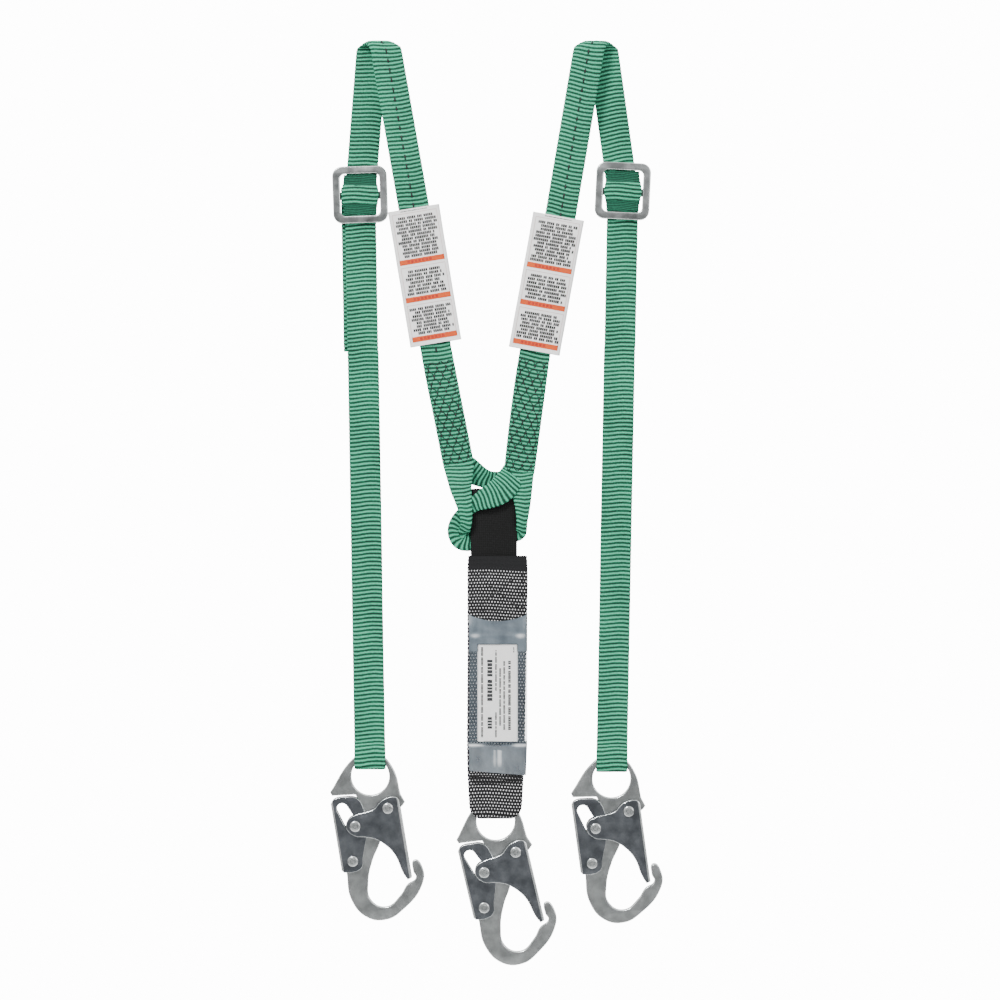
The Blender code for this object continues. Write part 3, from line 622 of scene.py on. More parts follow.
def outer_run(f):
    """The run through the buckle down to the flexing line."""
    back = -FRONT
    end = f.flex.copy()
    end.y = Y_OUTER
    above = fold(f.leg)[-1].centre
    upper = (above - f.buckle).normalized()
    bend = 16 * MM
    shift = f.buckle - (upper + f.down).normalized() * MM
    return [
        Station(f.buckle + upper * bend, back, WEB_W),
        Station(shift.lerp(f.buckle, 0.5), back, WEB_W),
        Station(f.buckle + f.down * bend, back, WEB_W),
        Station(end - f.down * 20 * MM, back, WEB_W),
    ]


def hook_turn(eye, flex, thickness, widths, ends, drop=0.0, facing=1):
    """The webbing's turn through a hook's eye, from above the flexing line down and back up.

    Its widths are at the flexing line, in front of the eye, and where it passes through the eye. Its
    face looks away from the eye's rim, or towards it where facing is -1.
    """
    t = thickness / MM
    side = 3.6 + t / 2
    corner = 0.9 + t / 2
    low = 8.6 - drop
    lean = (flex.x - eye.x) / (flex.z - eye.z)
    top, front_of_eye, in_eye = widths
    down = [(side, 19.6 + t, top * 0.5 + front_of_eye * 0.5), (side, low + 3.5, front_of_eye)]
    growth = in_eye - front_of_eye
    arc = [
        (2.7 + corner * cos(pi * k / 6), low - corner * sin(pi * k / 6), front_of_eye + growth * k / 3)
        for k in range(4)
    ]
    half = down + arc
    middle = Vector((eye.x, flex.y, eye.z))
    turn = []
    for y, v, width in [(-y, v, width) for y, v, width in half] + half[::-1]:
        outward = Vector((0, y, min(v - low, 0))).normalized()
        turn.append(Station(middle + at(0, y, v) + Vector((lean * v * MM, 0, 0)), outward * facing, width))
    front = Vector((0, -ends, 0))
    slope = Vector((lean, 0, 1))
    start = [Station(flex + front + slope * d * MM, FRONT * facing, top) for d in (3, 0, -3)]
    finish = [Station(flex - front + slope * d * MM, -FRONT * facing, top) for d in (-3, 0, 3)]
    return start + turn + finish


def leg_stations(f):
    """The whole strap: sewn layer, eye, inner run, fold, buckle, hook and the start of its way back."""
    hook = joint_place(f.name + "_gate_hinge")
    eye = hook_matrix(f.name).translation
    stations = sewn_layer(f.leg) + smooth_route(eye_route(f.leg["side"]), 8)
    stations += smooth_route(inner_run(f.leg), 8) + fold(f.leg) + outer_run(f)
    turn = hook_turn(Vector((eye.x, hook.y, eye.z)), f.flex, WEB_T, (WEB_W,) * 3, LAYER / 2, facing=-1)
    back = f.flex + f.up * 24 * MM
    return stations + turn + [Station(Vector((back.x, Y_OUTER + LAYER, back.z)), FRONT, WEB_W)]


def return_stations(f):
    """The strap's way back up from the hook. Above it stands clear of the buckle's sewn tail."""
    top = f.buckle + f.down * (TAIL_LENGTH + 3) * MM
    end = f.flex + f.up * 22 * MM
    places = (
        (0, 3 * LAYER + 0.2 * MM), (165 * MM, 3 * LAYER + 0.2 * MM), (205 * MM, LAYER),
        ((end - Vector((top.x, end.y, top.z))).length, LAYER),
    )
    return [
        Station(Vector((top.x, Y_OUTER + behind, top.z)) + f.down * distance, -FRONT, WEB_W)
        for distance, behind in places
    ]


def buckle_webbing_stations(f):
    """The strap's end round the centre bar: tail in front, main run behind."""
    side = Vector((f.down.x / -f.down.z, 0, -1))
    front_y, back_y = LAYER / MM, 3.9 + 3.0 + 0.3 + WEB_T / MM / 2
    middle = (front_y + back_y) / 2
    arc = (back_y - front_y) / 2
    places = [(front_y, TAIL_LENGTH), (front_y, 8), (front_y, -BAR_HALF_H)]
    places += [(middle - arc * cos(pi * k / 12), -BAR_HALF_H - arc * sin(pi * k / 12)) for k in range(1, 12)]
    places += [(back_y, -BAR_HALF_H), (back_y, 8), (2 * front_y, 20), (2 * front_y, TAIL_LENGTH + 3.5)]
    stations = []
    for i, (y, drop) in enumerate(places):
        outward = FRONT if i < 3 else -FRONT
        if 3 <= i < 14:
            turn = pi * (i - 2) / 12
            outward = Vector((0, -cos(turn), sin(turn)))
        stations.append(Station(f.buckle + at(f.leg["tail_aside"], y, 0) + side * drop * MM, outward, WEB_W))
    return stations


def dashes(strap, first, last, offset, height, length=STITCH, pitch=STITCH_PITCH):
    """Stitches along a strap between two rings."""
    step = strap.s[1]
    result = []
    ring = first
    while ring < last:
        result.append(strap.stitch((ring, offset), (ring + length / step, offset), height))
        ring += pitch / step
    return result


def honeycomb(strap, first, last, height, columns=6, cell=13.6 * MM, stitch=2.4 * MM):
    """Crossing zigzag rows of stitches that lock two layers together."""
    step = strap.s[1]
    half = (last - first) * step
    rows = int(half / (cell / 4))
    spacing = (WEB_W - 3.4 * MM) / columns
    result = []
    for column in range(columns + 1):
        base = -WEB_W / 2 + 1.7 * MM + spacing * column
        flip = 1 if column % 2 else -1
        corners = []
        for row in range(rows + 1):
            sway = flip * (1 if row % 4 in (1, 2) else -1) * spacing * 0.44
            if column in (0, columns):
                sway = max(sway, 0) if column == 0 else min(sway, 0)
            corners.append((row * cell / 4, base + sway))
        for (s0, o0), (s1, o1) in zip(corners, corners[1:]):
            length = ((s1 - s0) ** 2 + (o1 - o0) ** 2) ** 0.5
            count = max(int(round(length / stitch)), 1)
            for k in range(count):
                start, end = (
                    (first + (s0 + (s1 - s0) * t / count) / step, o0 + (o1 - o0) * t / count)
                    for t in (k + 0.06, k + 0.94)
                )
                result.append(strap.stitch(start, end, height, first + s0 / step))
    return result


def build_leg(name):
    """A leg's three straps with their stitches, its label and its buckle."""
    f = LegFrame(name)
    buckle = name + "_buckle"
    strap = Strap(leg_stations(f))
    strap.cup = FOLD_CUP * np.exp(-((strap.centre[:, 2] - FOLD_R) / FOLD_R) ** 2)
    strap.level(np.exp(-((strap.centre[:, 2] - FOLD_R) / LEVEL_REACH) ** 2))
    obj = add_piece(name + "_leg_strap", strap_mesh(strap, WEB_T), "green_webbing", None,
                    (name + "_leg_webbing", name + "_hook_webbing"))
    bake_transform(obj)

    back = Strap(return_stations(f))
    obj = add_piece(name + "_return_strap", strap_mesh(back, WEB_T), "green_webbing", None,
                    (name + "_return_webbing",))
    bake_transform(obj)

    tail = Strap(buckle_webbing_stations(f))
    add_piece(name + "_buckle_strap", strap_mesh(tail, WEB_T), "green_webbing", buckle,
              (name + "_buckle_webbing",))

    half = WEB_T / 2 + RIB_DEPTH * 0.3 + 0.15 * MM
    top_z, foot_z = (z * MM for z in f.leg["sewn"])
    low = strap.ring_at_z(foot_z, 0.15, 0.6)
    high = strap.ring_at_z(top_z, 0.15, 0.6)
    fold_ring = strap.ring_at_z(-12 * MM, 0.3, 0.6)
    stitches = honeycomb(strap, low, high, half)
    for offset in (-0.27 * MM, 0.27 * MM):
        stitches += dashes(strap, high + 6, fold_ring, offset, half)
    add_piece(name + "_leg_stitching", thread_mesh(stitches), "black_thread", "root")

    rings = len(tail.s)
    inside = int(rings * 0.03)
    stitches = []
    for offset in (-9.4 * MM, 9.4 * MM):
        stitches += dashes(tail, int(rings * 0.57), rings - inside, offset, half, *SMALL_STITCH)
    add_piece(name + "_buckle_stitching", thread_mesh(stitches), "black_thread", buckle)
    build_label(f)
    build_buckle(f)


# flat pieces

def spline_points(curve, outline, kind):
    edge = curve.splines.new(kind)
    places = edge.bezier_points if kind == "BEZIER" else edge.points
    places.add(len(outline) - 1)
    edge.use_cyclic_u = True
    for point, place in zip(places, outline):
        if kind == "BEZIER":
            handle = "AUTO" if len(place) == 3 else "VECTOR"
            point.co = at(place[0], place[1], 0)
            point.handle_left_type = handle
            point.handle_right_type = handle
        else:
            point.co = (*at(place[0], place[1], 0), 1)


def flat_mesh(outline, holes, thickness, round_edge, turn=UPRIGHT, offset=(0, 0, 0)):
    """A flat piece with rounded edges from an outline in mm. A point (x, y, "round") is passed smoothly."""
    curve = bpy.data.curves.new("flat", "CURVE")
    curve.dimensions = "2D"
    curve.fill_mode = "BOTH"
    curve.extrude = (thickness / 2 - round_edge) * MM
    curve.bevel_depth = round_edge * MM
    curve.bevel_resolution = 3
    curve.offset = -round_edge * MM
    curve.resolution_u = 8
    spline_points(curve, outline, "BEZIER")
    for hole in holes:
        spline_points(curve, hole, "POLY")
    mesh = applied_mesh(shown("flat", curve))
    mesh.transform(Matrix.Translation(offset) @ turn)
    return mesh


def applied_mesh(obj):
    """The object's mesh with its modifiers applied and its seams welded. The object is removed."""
    bpy.context.view_layer.update()
    graph = bpy.context.evaluated_depsgraph_get()
    mesh = bpy.data.meshes.new_from_object(obj.evaluated_get(graph))
    bpy.data.objects.remove(obj)
    bm = as_bmesh(mesh)
    bmesh.ops.remove_doubles(bm, verts=bm.verts, dist=1e-6)
    return faced_out(bm)


def box_mesh(low, high, soft=0.0):
    """A box between two corners in mm, with its edges softened."""
    bm = bmesh.new()
    bmesh.ops.create_cube(bm, size=1)
    bmesh.ops.scale(bm, vec=at(*high) - at(*low), verts=bm.verts)
    bmesh.ops.translate(bm, vec=(at(*high) + at(*low)) / 2, verts=bm.verts)
    if soft:
        bmesh.ops.bevel(bm, geom=bm.edges, offset=soft * MM, segments=3, affect="EDGES", profile=0.5)
    return new_mesh(bm)


def cylinder_mesh(centre, radius, low_y, high_y):
    """A cylinder along Y, given in mm."""
    bm = bmesh.new()
    bmesh.ops.create_cone(bm, cap_ends=True, segments=40, radius1=radius * MM, radius2=radius * MM,
                          depth=(high_y - low_y) * MM)
    bm.transform(Matrix.Translation(at(centre[0], (low_y + high_y) / 2, centre[1])) @ UPRIGHT)
    return new_mesh(bm)


def cut(mesh, tools):
    """The mesh with each tool's shape taken out of it."""
    obj = shown("work", mesh)
    cutters = [shown("cutter", tool) for tool in tools]
    for cutter in cutters:
        step = obj.modifiers.new("cut", "BOOLEAN")
        step.object = cutter
        step.operation = "DIFFERENCE"
    result = applied_mesh(obj)
    for cutter in cutters:
        bpy.data.objects.remove(cutter)
    return result


def circle(centre, radius, steps=36):
    return [
        (centre[0] + radius * cos(2 * pi * k / steps), centre[1] + radius * sin(2 * pi * k / steps))
        for k in range(steps)
    ]


def rounded_rectangle(width, height, radius, steps=8):
    """Corner points in mm of a rectangle with rounded corners."""
    points = []
    for quarter, (sx, sy) in enumerate(((1, 1), (-1, 1), (-1, -1), (1, -1))):
        for k in range(steps + 1):
            angle = (quarter + k / steps) * pi / 2
            points.append((
                sx * (width / 2 - radius) + radius * cos(angle),
                sy * (height / 2 - radius) + radius * sin(angle),
            ))
    return points


def hull(points):
    """The convex outline round a set of points."""
    ordered = sorted(points)
    sides = []
    for run in (ordered, ordered[::-1]):
        side = []
        for p in run:
            while len(side) > 1:
                (ax, ay), (bx, by) = side[-2:]
                if (bx - ax) * (p[1] - ay) - (by - ay) * (p[0] - ax) > 0:
                    break
                side.pop()
            side.append(p)
        sides += side[:-1]
    return sides


# slide buckle

def build_buckle(f):
    """A pressed frame in front of the strap, and a round-edged bar behind it on two lugs."""
    centre_y = -(WEB_T / MM / 2 + 0.3 + 1.5)
    frame_plate = flat_mesh(rounded_rectangle(45, 47, 8), [rounded_rectangle(32.6, 34.5, 4)], 3, 1.1,
                            UPRIGHT, at(0, centre_y, 0))
    parts = [
        wear_and_highlight_edges(frame_plate),
        box_mesh((-22, -2.4, -BAR_HALF_H), (-16.8, 6.7, BAR_HALF_H), 0.7),
        box_mesh((16.8, -2.4, -BAR_HALF_H), (22, 6.7, BAR_HALF_H), 0.7),
        box_mesh((-21.5, 3.9, -BAR_HALF_H + 0.1), (21.5, 6.9, BAR_HALF_H - 0.1), 1.1),
    ]
    mesh = smooth_shaded(new_mesh(as_bmesh(*parts)))
    turn = Matrix.Rotation(radians(f.leg["lean_out"] / 4), 4, "Y")
    mesh.transform(Matrix.Translation(f.buckle) @ turn)
    add_piece(f.name + "_buckle_frame", mesh, "buckle_steel", f.name + "_buckle", (f.name + "_slide_buckle",))
    # The frame's bevels take the bright edge material: a painted highlight on the bevels.
    mesh.materials.append(MATERIALS["worn_edge"])
    half = ((0, -3.8, 31.0), (4.2, -3.5, 31.0), (7.0, -2.5, 29.5), (8.8, -1.95, 27.0), (16.4, -1.95, 26.6))
    crown = Strap([
        Station(f.buckle + at(0, y, 0) + f.up * z * MM, FRONT, width * MM)
        for z, y, width in half[:0:-1] + tuple((-z, y, width) for z, y, width in half)
    ])
    mesh = strap_mesh(crown, 1.0 * MM, 2.9 * MM, 0.30 * MM)
    add_piece(f.name + "_bar_wrap", mesh, "green_webbing", f.name + "_buckle")
    # Faces in the window above and below the bar take the darker webbing: painted shade of the frame.
    mesh.materials.append(MATERIALS["close_webbing"])
    for face in mesh.polygons:
        face.material_index = int(abs(face.center.z - f.buckle.z) > 7.6 * MM)


# warning label

def ink_mesh(boxes, place):
    """Thin raised rectangles (x, z, width, height) on a face looking along -Y, in mm."""
    verts, faces = [], []
    for x, z, width, height in boxes:
        first = len(verts)
        for y in (0.0, 0.05):
            for sx, sz in ((-1, -1), (1, -1), (1, 1), (-1, 1)):
                verts.append(at(x + sx * width / 2, y, z + sz * height / 2))
        a, b, c, d, e, g, h, i = range(first, first + 8)
        faces += [(a, b, c, d), (e, i, h, g), (a, e, g, b), (b, g, h, c), (c, h, i, d), (d, i, e, a)]
    mesh = from_points(verts, faces)
    mesh.transform(place)
    return mesh


def greeked_line(x, z, width, height=2.35):
    """One line of stand-in print: ticks in word-like groups, with no letters."""
    ticks = []
    place = x - width / 2
    word = DICE.randint(3, 8)
    while place < x + width / 2:
        tick = DICE.uniform(0.42, 0.62) * height
        ticks.append((place + tick / 2, z, tick, height * DICE.uniform(0.86, 1.0)))
        place += tick + 0.13 * height
        word -= 1
        if word == 0:
            word = DICE.randint(2, 8)
            place += 0.5 * height
    return ticks


def sleeve_mesh(levels):
    """A closed sleeve. Each level is an outer and an inner ring of points."""
    bm = bmesh.new()
    rings = [[[bm.verts.new(place) for place in ring] for ring in level] for level in levels]
    turns = list(zip(range(len(rings[0][0])), [*range(1, len(rings[0][0])), 0]))
    for (outer, inner), (next_outer, next_inner) in zip(rings, rings[1:]):
        for k, n in turns:
            bm.faces.new((outer[k], outer[n], next_outer[n], next_outer[k]))
            bm.faces.new((inner[n], inner[k], next_inner[k], next_inner[n]))
    for outer, inner in (rings[0], rings[-1]):
        for k, n in turns:
            bm.faces.new((outer[k], inner[k], inner[n], outer[n]))
    return faced_out(bm)


def label_levels(width, height, steps=28):
    """The label's rings from its foot up. It swells a little at both ends and waves between them."""
    outline = rounded_rectangle(width, 6.2, 2.2, 6)
    inside = rounded_rectangle(width - 1.2, 5.0, 1.6, 6)
    for k in range(steps + 1):
        t = 2 * k / steps - 1
        swell = 0.35 * abs(t) ** 6 + 0.10 * sin(9 * t)
        yield [
            [at(x * (1 + swell / 60), y * (1 + swell / 9), t * height / 2) for x, y in ring]
            for ring in (outline, inside)
        ]


def label_print(width):
    """What is printed on a label, by ink: three blocks of stand-in lines, each over an orange band."""
    prints = {"black": [], "orange": [], "red": [], "pink": []}
    half = width / 2 - 2.9
    for top, band, lines in ((52.5, 13.0, 12), (8.5, -18.0, 7), (-22.5, -50.5, 8)):
        prints["orange"].append((0, band, width - 5.2, 4.2))
        prints["red"] += [(x, band, 2.1, 2.2) for x in range(-11, 8, 3)]
        room = top - band - 5.4
        for k in range(lines):
            prints["black"] += greeked_line(0, top - 2.2 - room * (k + 0.5) / lines, DICE.uniform(25, 34))
        middle = (top + band) / 2
        prints["pink"] += [(x, middle, RULE, top - band) for x in (-half, half)]
        prints["pink"].append((0, top, 2 * half + 0.3, RULE))
    prints["black"] += greeked_line(0, 54.3, 22, 0.7)
    return prints


def build_label(f):
    """A printed sleeve round the inner run, with plain rules, bands and stand-in lines."""
    low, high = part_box(f.name + "_warning_label")
    lean = Matrix.Rotation(-radians(f.leg["label_lean"]), 4, "Y")
    place = Matrix.Translation((Vector(low) + Vector(high)) / 2) @ lean
    mesh = sleeve_mesh(list(label_levels(*LABEL_SIZE)))
    mesh.transform(place)
    add_piece(f.name + "_label_sleeve", smooth_shaded(mesh, 50), "label_white", "root",
              (f.name + "_warning_label",))
    for ink, boxes in label_print(LABEL_SIZE[0]).items():
        lift = 0.04 if ink == "red" else 0.0
        face = place @ Matrix.Translation(at(0, -3.36 - lift, 0))
        add_piece(f"{f.name}_label_{ink}", ink_mesh(boxes, face), "ink_" + ink, "root")


# snap hooks

def hook_matrix(name):
    """From a hook's own frame, centred on its eye, to the lanyard's, found from its two hinges."""
    gate = joint_place(name + "_gate_hinge")
    lever = joint_place(name + "_lever_hinge")
    local = at(LEVER_PIVOT[0] - GATE_PIVOT[0], 0, LEVER_PIVOT[1] - GATE_PIVOT[1])
    tilt = atan2(lever.z - gate.z, lever.x - gate.x) - atan2(local.z, local.x)
    turn = Matrix.Rotation(-tilt, 4, "Y")
    return Matrix.Translation(gate - turn @ at(GATE_PIVOT[0], 0, GATE_PIVOT[1])) @ turn


def hook_plate_mesh():
    """The plate: eye at the top, ear on the left for the lever, spine, and the round nose."""
    r = "round"
    outline = (
        (-34.7, -7.6), (-12.1, 16.3, r), (0, 20.5, r), (10.5, 16.8, r), (19.5, 3.6, r), (22.2, -18.8),
        (24.7, -25.6), (22.6, -27.9), (17.5, -31.4, r), (11.5, -36.2, r), (5, -40.5, r), (-0.7, -54.9, r),
        (-8.9, -68.1, r), (-15.7, -86.1, r), (-16, -100.3, r), (-4.9, -108.2, r), (8.9, -100.6, r),
        (15.6, -93, r), (23.6, -88.4, r), (22.3, -82.3, r), (24.7, -73.8, r), (30.6, -83, r),
        (27.6, -95.5, r), (9, -112.8, r), (-5.3, -118.6, r), (-21.3, -114.2, r), (-31.8, -97.6, r),
        (-32, -74.9, r), (-32, -57), (-29.5, -52.5), (-14.5, -46), (-12.5, -40), (-12.5, -18),
        (-14.5, -13), (-33.7, -10.8),
    )
    shoulder = asin(EYE_TOP / EYE_R)
    start, sweep, steps = pi - shoulder, pi + 2 * shoulder, 48
    eye = [
        (EYE_R * cos(start + sweep * k / steps), EYE_R * sin(start + sweep * k / steps))
        for k in range(steps + 1)
    ]
    holes = [eye, circle(GATE_PIVOT, HOLE_R), circle(LEVER_PIVOT, HOLE_R)]
    mesh = flat_mesh(outline, holes, PLATE_T, 0.9)
    return cut(mesh, [
        cylinder_mesh(GATE_PIVOT, POCKET_R, POCKET_FLOOR, 4),
        cylinder_mesh(LEVER_PIVOT, POCKET_R - 0.7, POCKET_FLOOR, 4),
    ])


def gate_mesh():
    """A channel folded round its right edge."""
    r = "round"
    outline = (
        (GATE_EDGE, -22.5), (18.2, -19.9, r), (8, -20.2, r), (3.6, -22.9, r), (-1, -26.7, r),
        (-8.3, -28.1, r), (-17.6, -29.2, r), (-24.2, -32.6, r), (-26, -38.6, r), (-20.3, -46.1, r),
        (-11.7, -48.5, r), (-4.1, -51.3, r), (3, -57, r), (9.5, -66.1, r), (14.4, -83.4, r), (17, -88.6),
        (GATE_EDGE, -87.4),
    )
    mesh = flat_mesh(outline, [circle(GATE_PIVOT, HOLE_R), circle(GATE_PIN, HOLE_R)], 2 * GATE_HALF, 0.6)
    inside = GATE_HALF - GATE_T
    return cut(mesh, [
        box_mesh((-40, -inside, -95), (GATE_EDGE - GATE_T, inside, -10)),
        box_mesh((0, -inside - 0.01, -31), (40, inside + 0.01, -10)),
    ])


def lever_mesh():
    """A channel folded round its left edge, with the slot that the gate pin rides in."""
    r = "round"
    outline = (
        (LEVER_EDGE, -17), (-33, -14, r), (-24, -13.2, r), (-13.4, -16.2, r), (-9.4, -25, r), (-8.6, -38, r),
        (-11.5, -50.6, r), (-16.4, -64.9, r), (-18.6, -72.6, r), (-27.2, -75.6, r), (-34, -74.6),
        (LEVER_EDGE, -72.5),
    )
    slot = hull(circle((-26.9, -22.6), 4.6) + circle((-23.4, -37.3), 3.4) + circle(GATE_PIN, 3.2))
    mesh = flat_mesh(outline, [circle(LEVER_PIVOT, HOLE_R), slot], 2 * LEVER_HALF, 0.5)
    inside = LEVER_HALF - LEVER_T
    return cut(mesh, [box_mesh((LEVER_EDGE + LEVER_T, -inside, -90), (10, inside, 0))])


def rivet_mesh(reach, centre):
    """A rivet along Y whose heads are rolled rings round a hollow, in mm."""
    half = (
        (0.0, reach + 0.25), (1.5, reach + 0.3), (1.9, reach + 0.8), (2.35, reach + 1.35), (2.9, reach + 1.5),
        (3.6, reach + 1.42), (4.25, reach + 1.05), (4.6, reach + 0.55), (4.6, reach + 0.05), (4.4, reach),
        (2.5, reach),
    )
    profile = list(half) + [(x, -y) for x, y in half[::-1]]
    steps = 40
    bm = bmesh.new()
    rings = []
    for radius, y in profile:
        if radius == 0:
            rings.append([bm.verts.new(at(centre[0], y, centre[1]))])
        else:
            rings.append([bm.verts.new(at(x, y, z)) for x, z in circle(centre, radius, steps)])
    for low, high in zip(rings, rings[1:]):
        for k in range(steps):
            n = (k + 1) % steps
            if len(low) == 1:
                bm.faces.new((low[0], high[k], high[n]))
            elif len(high) == 1:
                bm.faces.new((low[k], low[n], high[0]))
            else:
                bm.faces.new((low[k], low[n], high[n], high[k]))
    return faced_out(bm)


def build_hook(name, shapes):
    """A snap hook. Each shape is drawn once, in a hook's own frame, and placed by the hook's hinges."""
    for kind, (mesh, material, body, node) in shapes.items():
        copy = mesh.copy()
        copy.transform(hook_matrix(name))
        smooth_shaded(copy, 35)
        add_piece(f"{name}_{kind}_piece", copy, material, f"{name}_{body}", (f"{name}_{node}",))
        # All but the rivets get the bright edge material as a second slot: worn plating, and a painted
        # highlight on edges and folds.
        if "rivet" not in kind:
            copy.materials.append(MATERIALS["worn_edge"])


def wear_and_highlight_edges(mesh, fold=None):
    """Edge faces take the second material, bright with worn plating and a painted highlight. So does the
    strip past a fold, a painted highlight of the bend, given as its x in mm and side.
    """
    bm = as_bmesh(mesh)
    if fold:
        x, side = fold
        geometry = bm.verts[:] + bm.edges[:] + bm.faces[:]
        bmesh.ops.bisect_plane(bm, geom=geometry, plane_co=at(x, 0, 0), plane_no=(1, 0, 0))
    for face in bm.faces:
        at_fold = fold and (face.calc_center_median().x - x * MM) * side > 0
        face.material_index = 1 if abs(face.normal.y) < 0.97 or at_fold else 0
    return new_mesh(bm)


def hook_shapes():
    """Each piece's mesh and material, the end of its body's name and of the CAD node's name."""
    wide, narrow = GATE_HALF + GAP / MM, LEVER_HALF + GAP / MM
    # The strips past the channels' folds are painted bright as the bends' highlights.
    gate_fold, lever_fold = (GATE_EDGE - FOLD_BAND, 1), (LEVER_EDGE + FOLD_BAND, -1)
    return {
        "plate": (wear_and_highlight_edges(hook_plate_mesh()), "plate_steel", "hook", "hook_body"),
        "gate": (wear_and_highlight_edges(gate_mesh(), gate_fold), "sheet_steel", "gate", "gate"),
        "lever": (wear_and_highlight_edges(lever_mesh(), lever_fold), "sheet_steel", "lock_lever", "lock_lever"),
        "gate_rivet": (rivet_mesh(wide, GATE_PIVOT), "bright_steel", "hook", "gate_pivot"),
        "pin_rivet": (rivet_mesh(wide, GATE_PIN), "bright_steel", "gate", "gate_pin"),
        "lever_rivet": (rivet_mesh(narrow, LEVER_PIVOT), "bright_steel", "hook", "lever_pivot"),
    }


# pack

def loop_stations(flex):
    """The black loop from inside the pack's back, over its crown and down its front."""
    low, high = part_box("pack_loop")
    x, y = (low[0] + high[0]) / 2, (low[1] + high[1]) / 2
    reach = 4.5 * MM
    crown = high[2] - 5.8 * MM
    foot = flex.z - 12 * MM
    arc = [(reach * cos(pi * k / 16), crown + reach * sin(pi * k / 16)) for k in range(17)]
    sides = [(reach, foot), (reach, crown - 20 * MM)] + arc + [(-reach, crown - 20 * MM), (-reach, foot)]
    stations = []
    for offset, z in sides:
        outward = Vector((0, offset, max(z - crown, 0))).normalized()
        stations.append(Station(Vector((x, y + offset, z)), outward, high[0] - low[0]))
    return stations


def casing_stations(flex, eye):
    """The pack's webbing: down the front, through the hook's eye and up the back."""
    hinge = joint_place("pack_flex")
    x, y = hinge.x, hinge.y
    top = hinge.z / MM - 2
    foot = flex.z / MM
    down = (
        (-6.0, top, 48.0), (-8.6, top - 9, 49.2), (-12.25, top - 25, 49.2), (-12.6, top - 75, 48.0),
        (-12.25, -562, 47.4), (-9.0, -577, 47.0), (-4.6, foot + 3, 46.4),
    )
    front = [Station(Vector((x, y + dy * MM, z * MM)), FRONT, w * MM) for dy, z, w in down]
    back = [Station(Vector((x, y - dy * MM, z * MM)), -FRONT, w * MM) for dy, z, w in down[::-1]]
    lean = (flex.x - x) / (flex.z - (top - 25) * MM)
    shifted = [
        Station(s.centre + Vector((lean * min(s.centre.z - (top - 25) * MM, 0), 0, 0)), s.normal, s.width)
        for s in front + back
    ]
    half = len(down)
    turn = hook_turn(Vector((eye.x, flex.y, eye.z)), flex, 5 * MM, PACK_TURN, 2.65 * MM, 1.0)
    middle = [s for s in turn if s.centre.z < flex.z]
    return shifted[:half] + middle + shifted[half:]


def folded_outline(layers, thick, gap, top, foot):
    """A strap folded to and fro, in side view: its gaps open at the foot and at the top by turns."""
    pitch = thick + gap
    left = -(layers * pitch - gap) / 2
    lower = [(left, foot)]
    for k in range(2, layers, 2):
        x = left + k * pitch
        lower += [(x - gap, foot), (x - gap, top - thick), (x, top - thick), (x, foot)]
    upper = [(-left, foot), (-left, top)]
    for k in range(layers - 1, 0, -2):
        x = left + k * pitch
        upper += [(x, top), (x, foot + thick), (x - gap, foot + thick), (x - gap, top)]
    return lower + upper + [(left, top)]


def wrap_outline(spacing=1.6):
    """The film's outline round the pack, with points close enough to crease."""
    outline = rounded_rectangle(48.6, 29.6, 4.0, 6)
    for (ax, ay), (bx, by) in zip(outline, outline[1:] + outline[:1]):
        parts = max(int(((bx - ax) ** 2 + (by - ay) ** 2) ** 0.5 / spacing), 1)
        yield from ((ax + (bx - ax) * k / parts, ay + (by - ay) * k / parts) for k in range(parts))


def wrap_mesh(hinge, top=-463.0, foot=-593.0, rows=110):
    """Shrunk film round the pack, creased, pulled in at its foot and sealed across near both ends."""
    outline = list(wrap_outline())
    levels = []
    for i in range(rows + 1):
        z = top + (foot - top) * i / rows
        below = max((WRAP_PULL - z) / 23.0, 0)
        squeeze, narrow = 1.0 - 0.46 * below ** 1.3, 1 - 0.035 * below
        seal = 0.55 * sum(max(1 - abs(z - line) / 1.6, 0) for line in WRAP_SEALS)
        outer, inner = [], []
        for x, y in outline:
            crease = 0.42 * sin(0.16 * x + 0.9 * sin(0.21 * z) + 0.11 * z) * sin(0.37 * z + 0.05 * x)
            droop = -5.5 * (1 - (x / 24.3) ** 2) * max(1 - i / 12, 0) - 0.075 * x * max(2 * i / rows - 1, 0)
            sign = 1 if y > 0 else -1
            depth = y * squeeze + sign * (seal + crease) * 0.5
            outer.append(at(x * narrow, depth, z + droop))
            inner.append(at(x * narrow * 0.992, depth - sign * 0.3, z + droop))
        levels.append((outer, inner))
    mesh = sleeve_mesh(levels)
    mesh.transform(Matrix.Translation((hinge.x, hinge.y, 0)))
    return smooth_shaded(mesh, 60)


def hump(value, width):
    """1 at nothing, falling to 0 past the width."""
    return exp(-(value / width) ** 2)


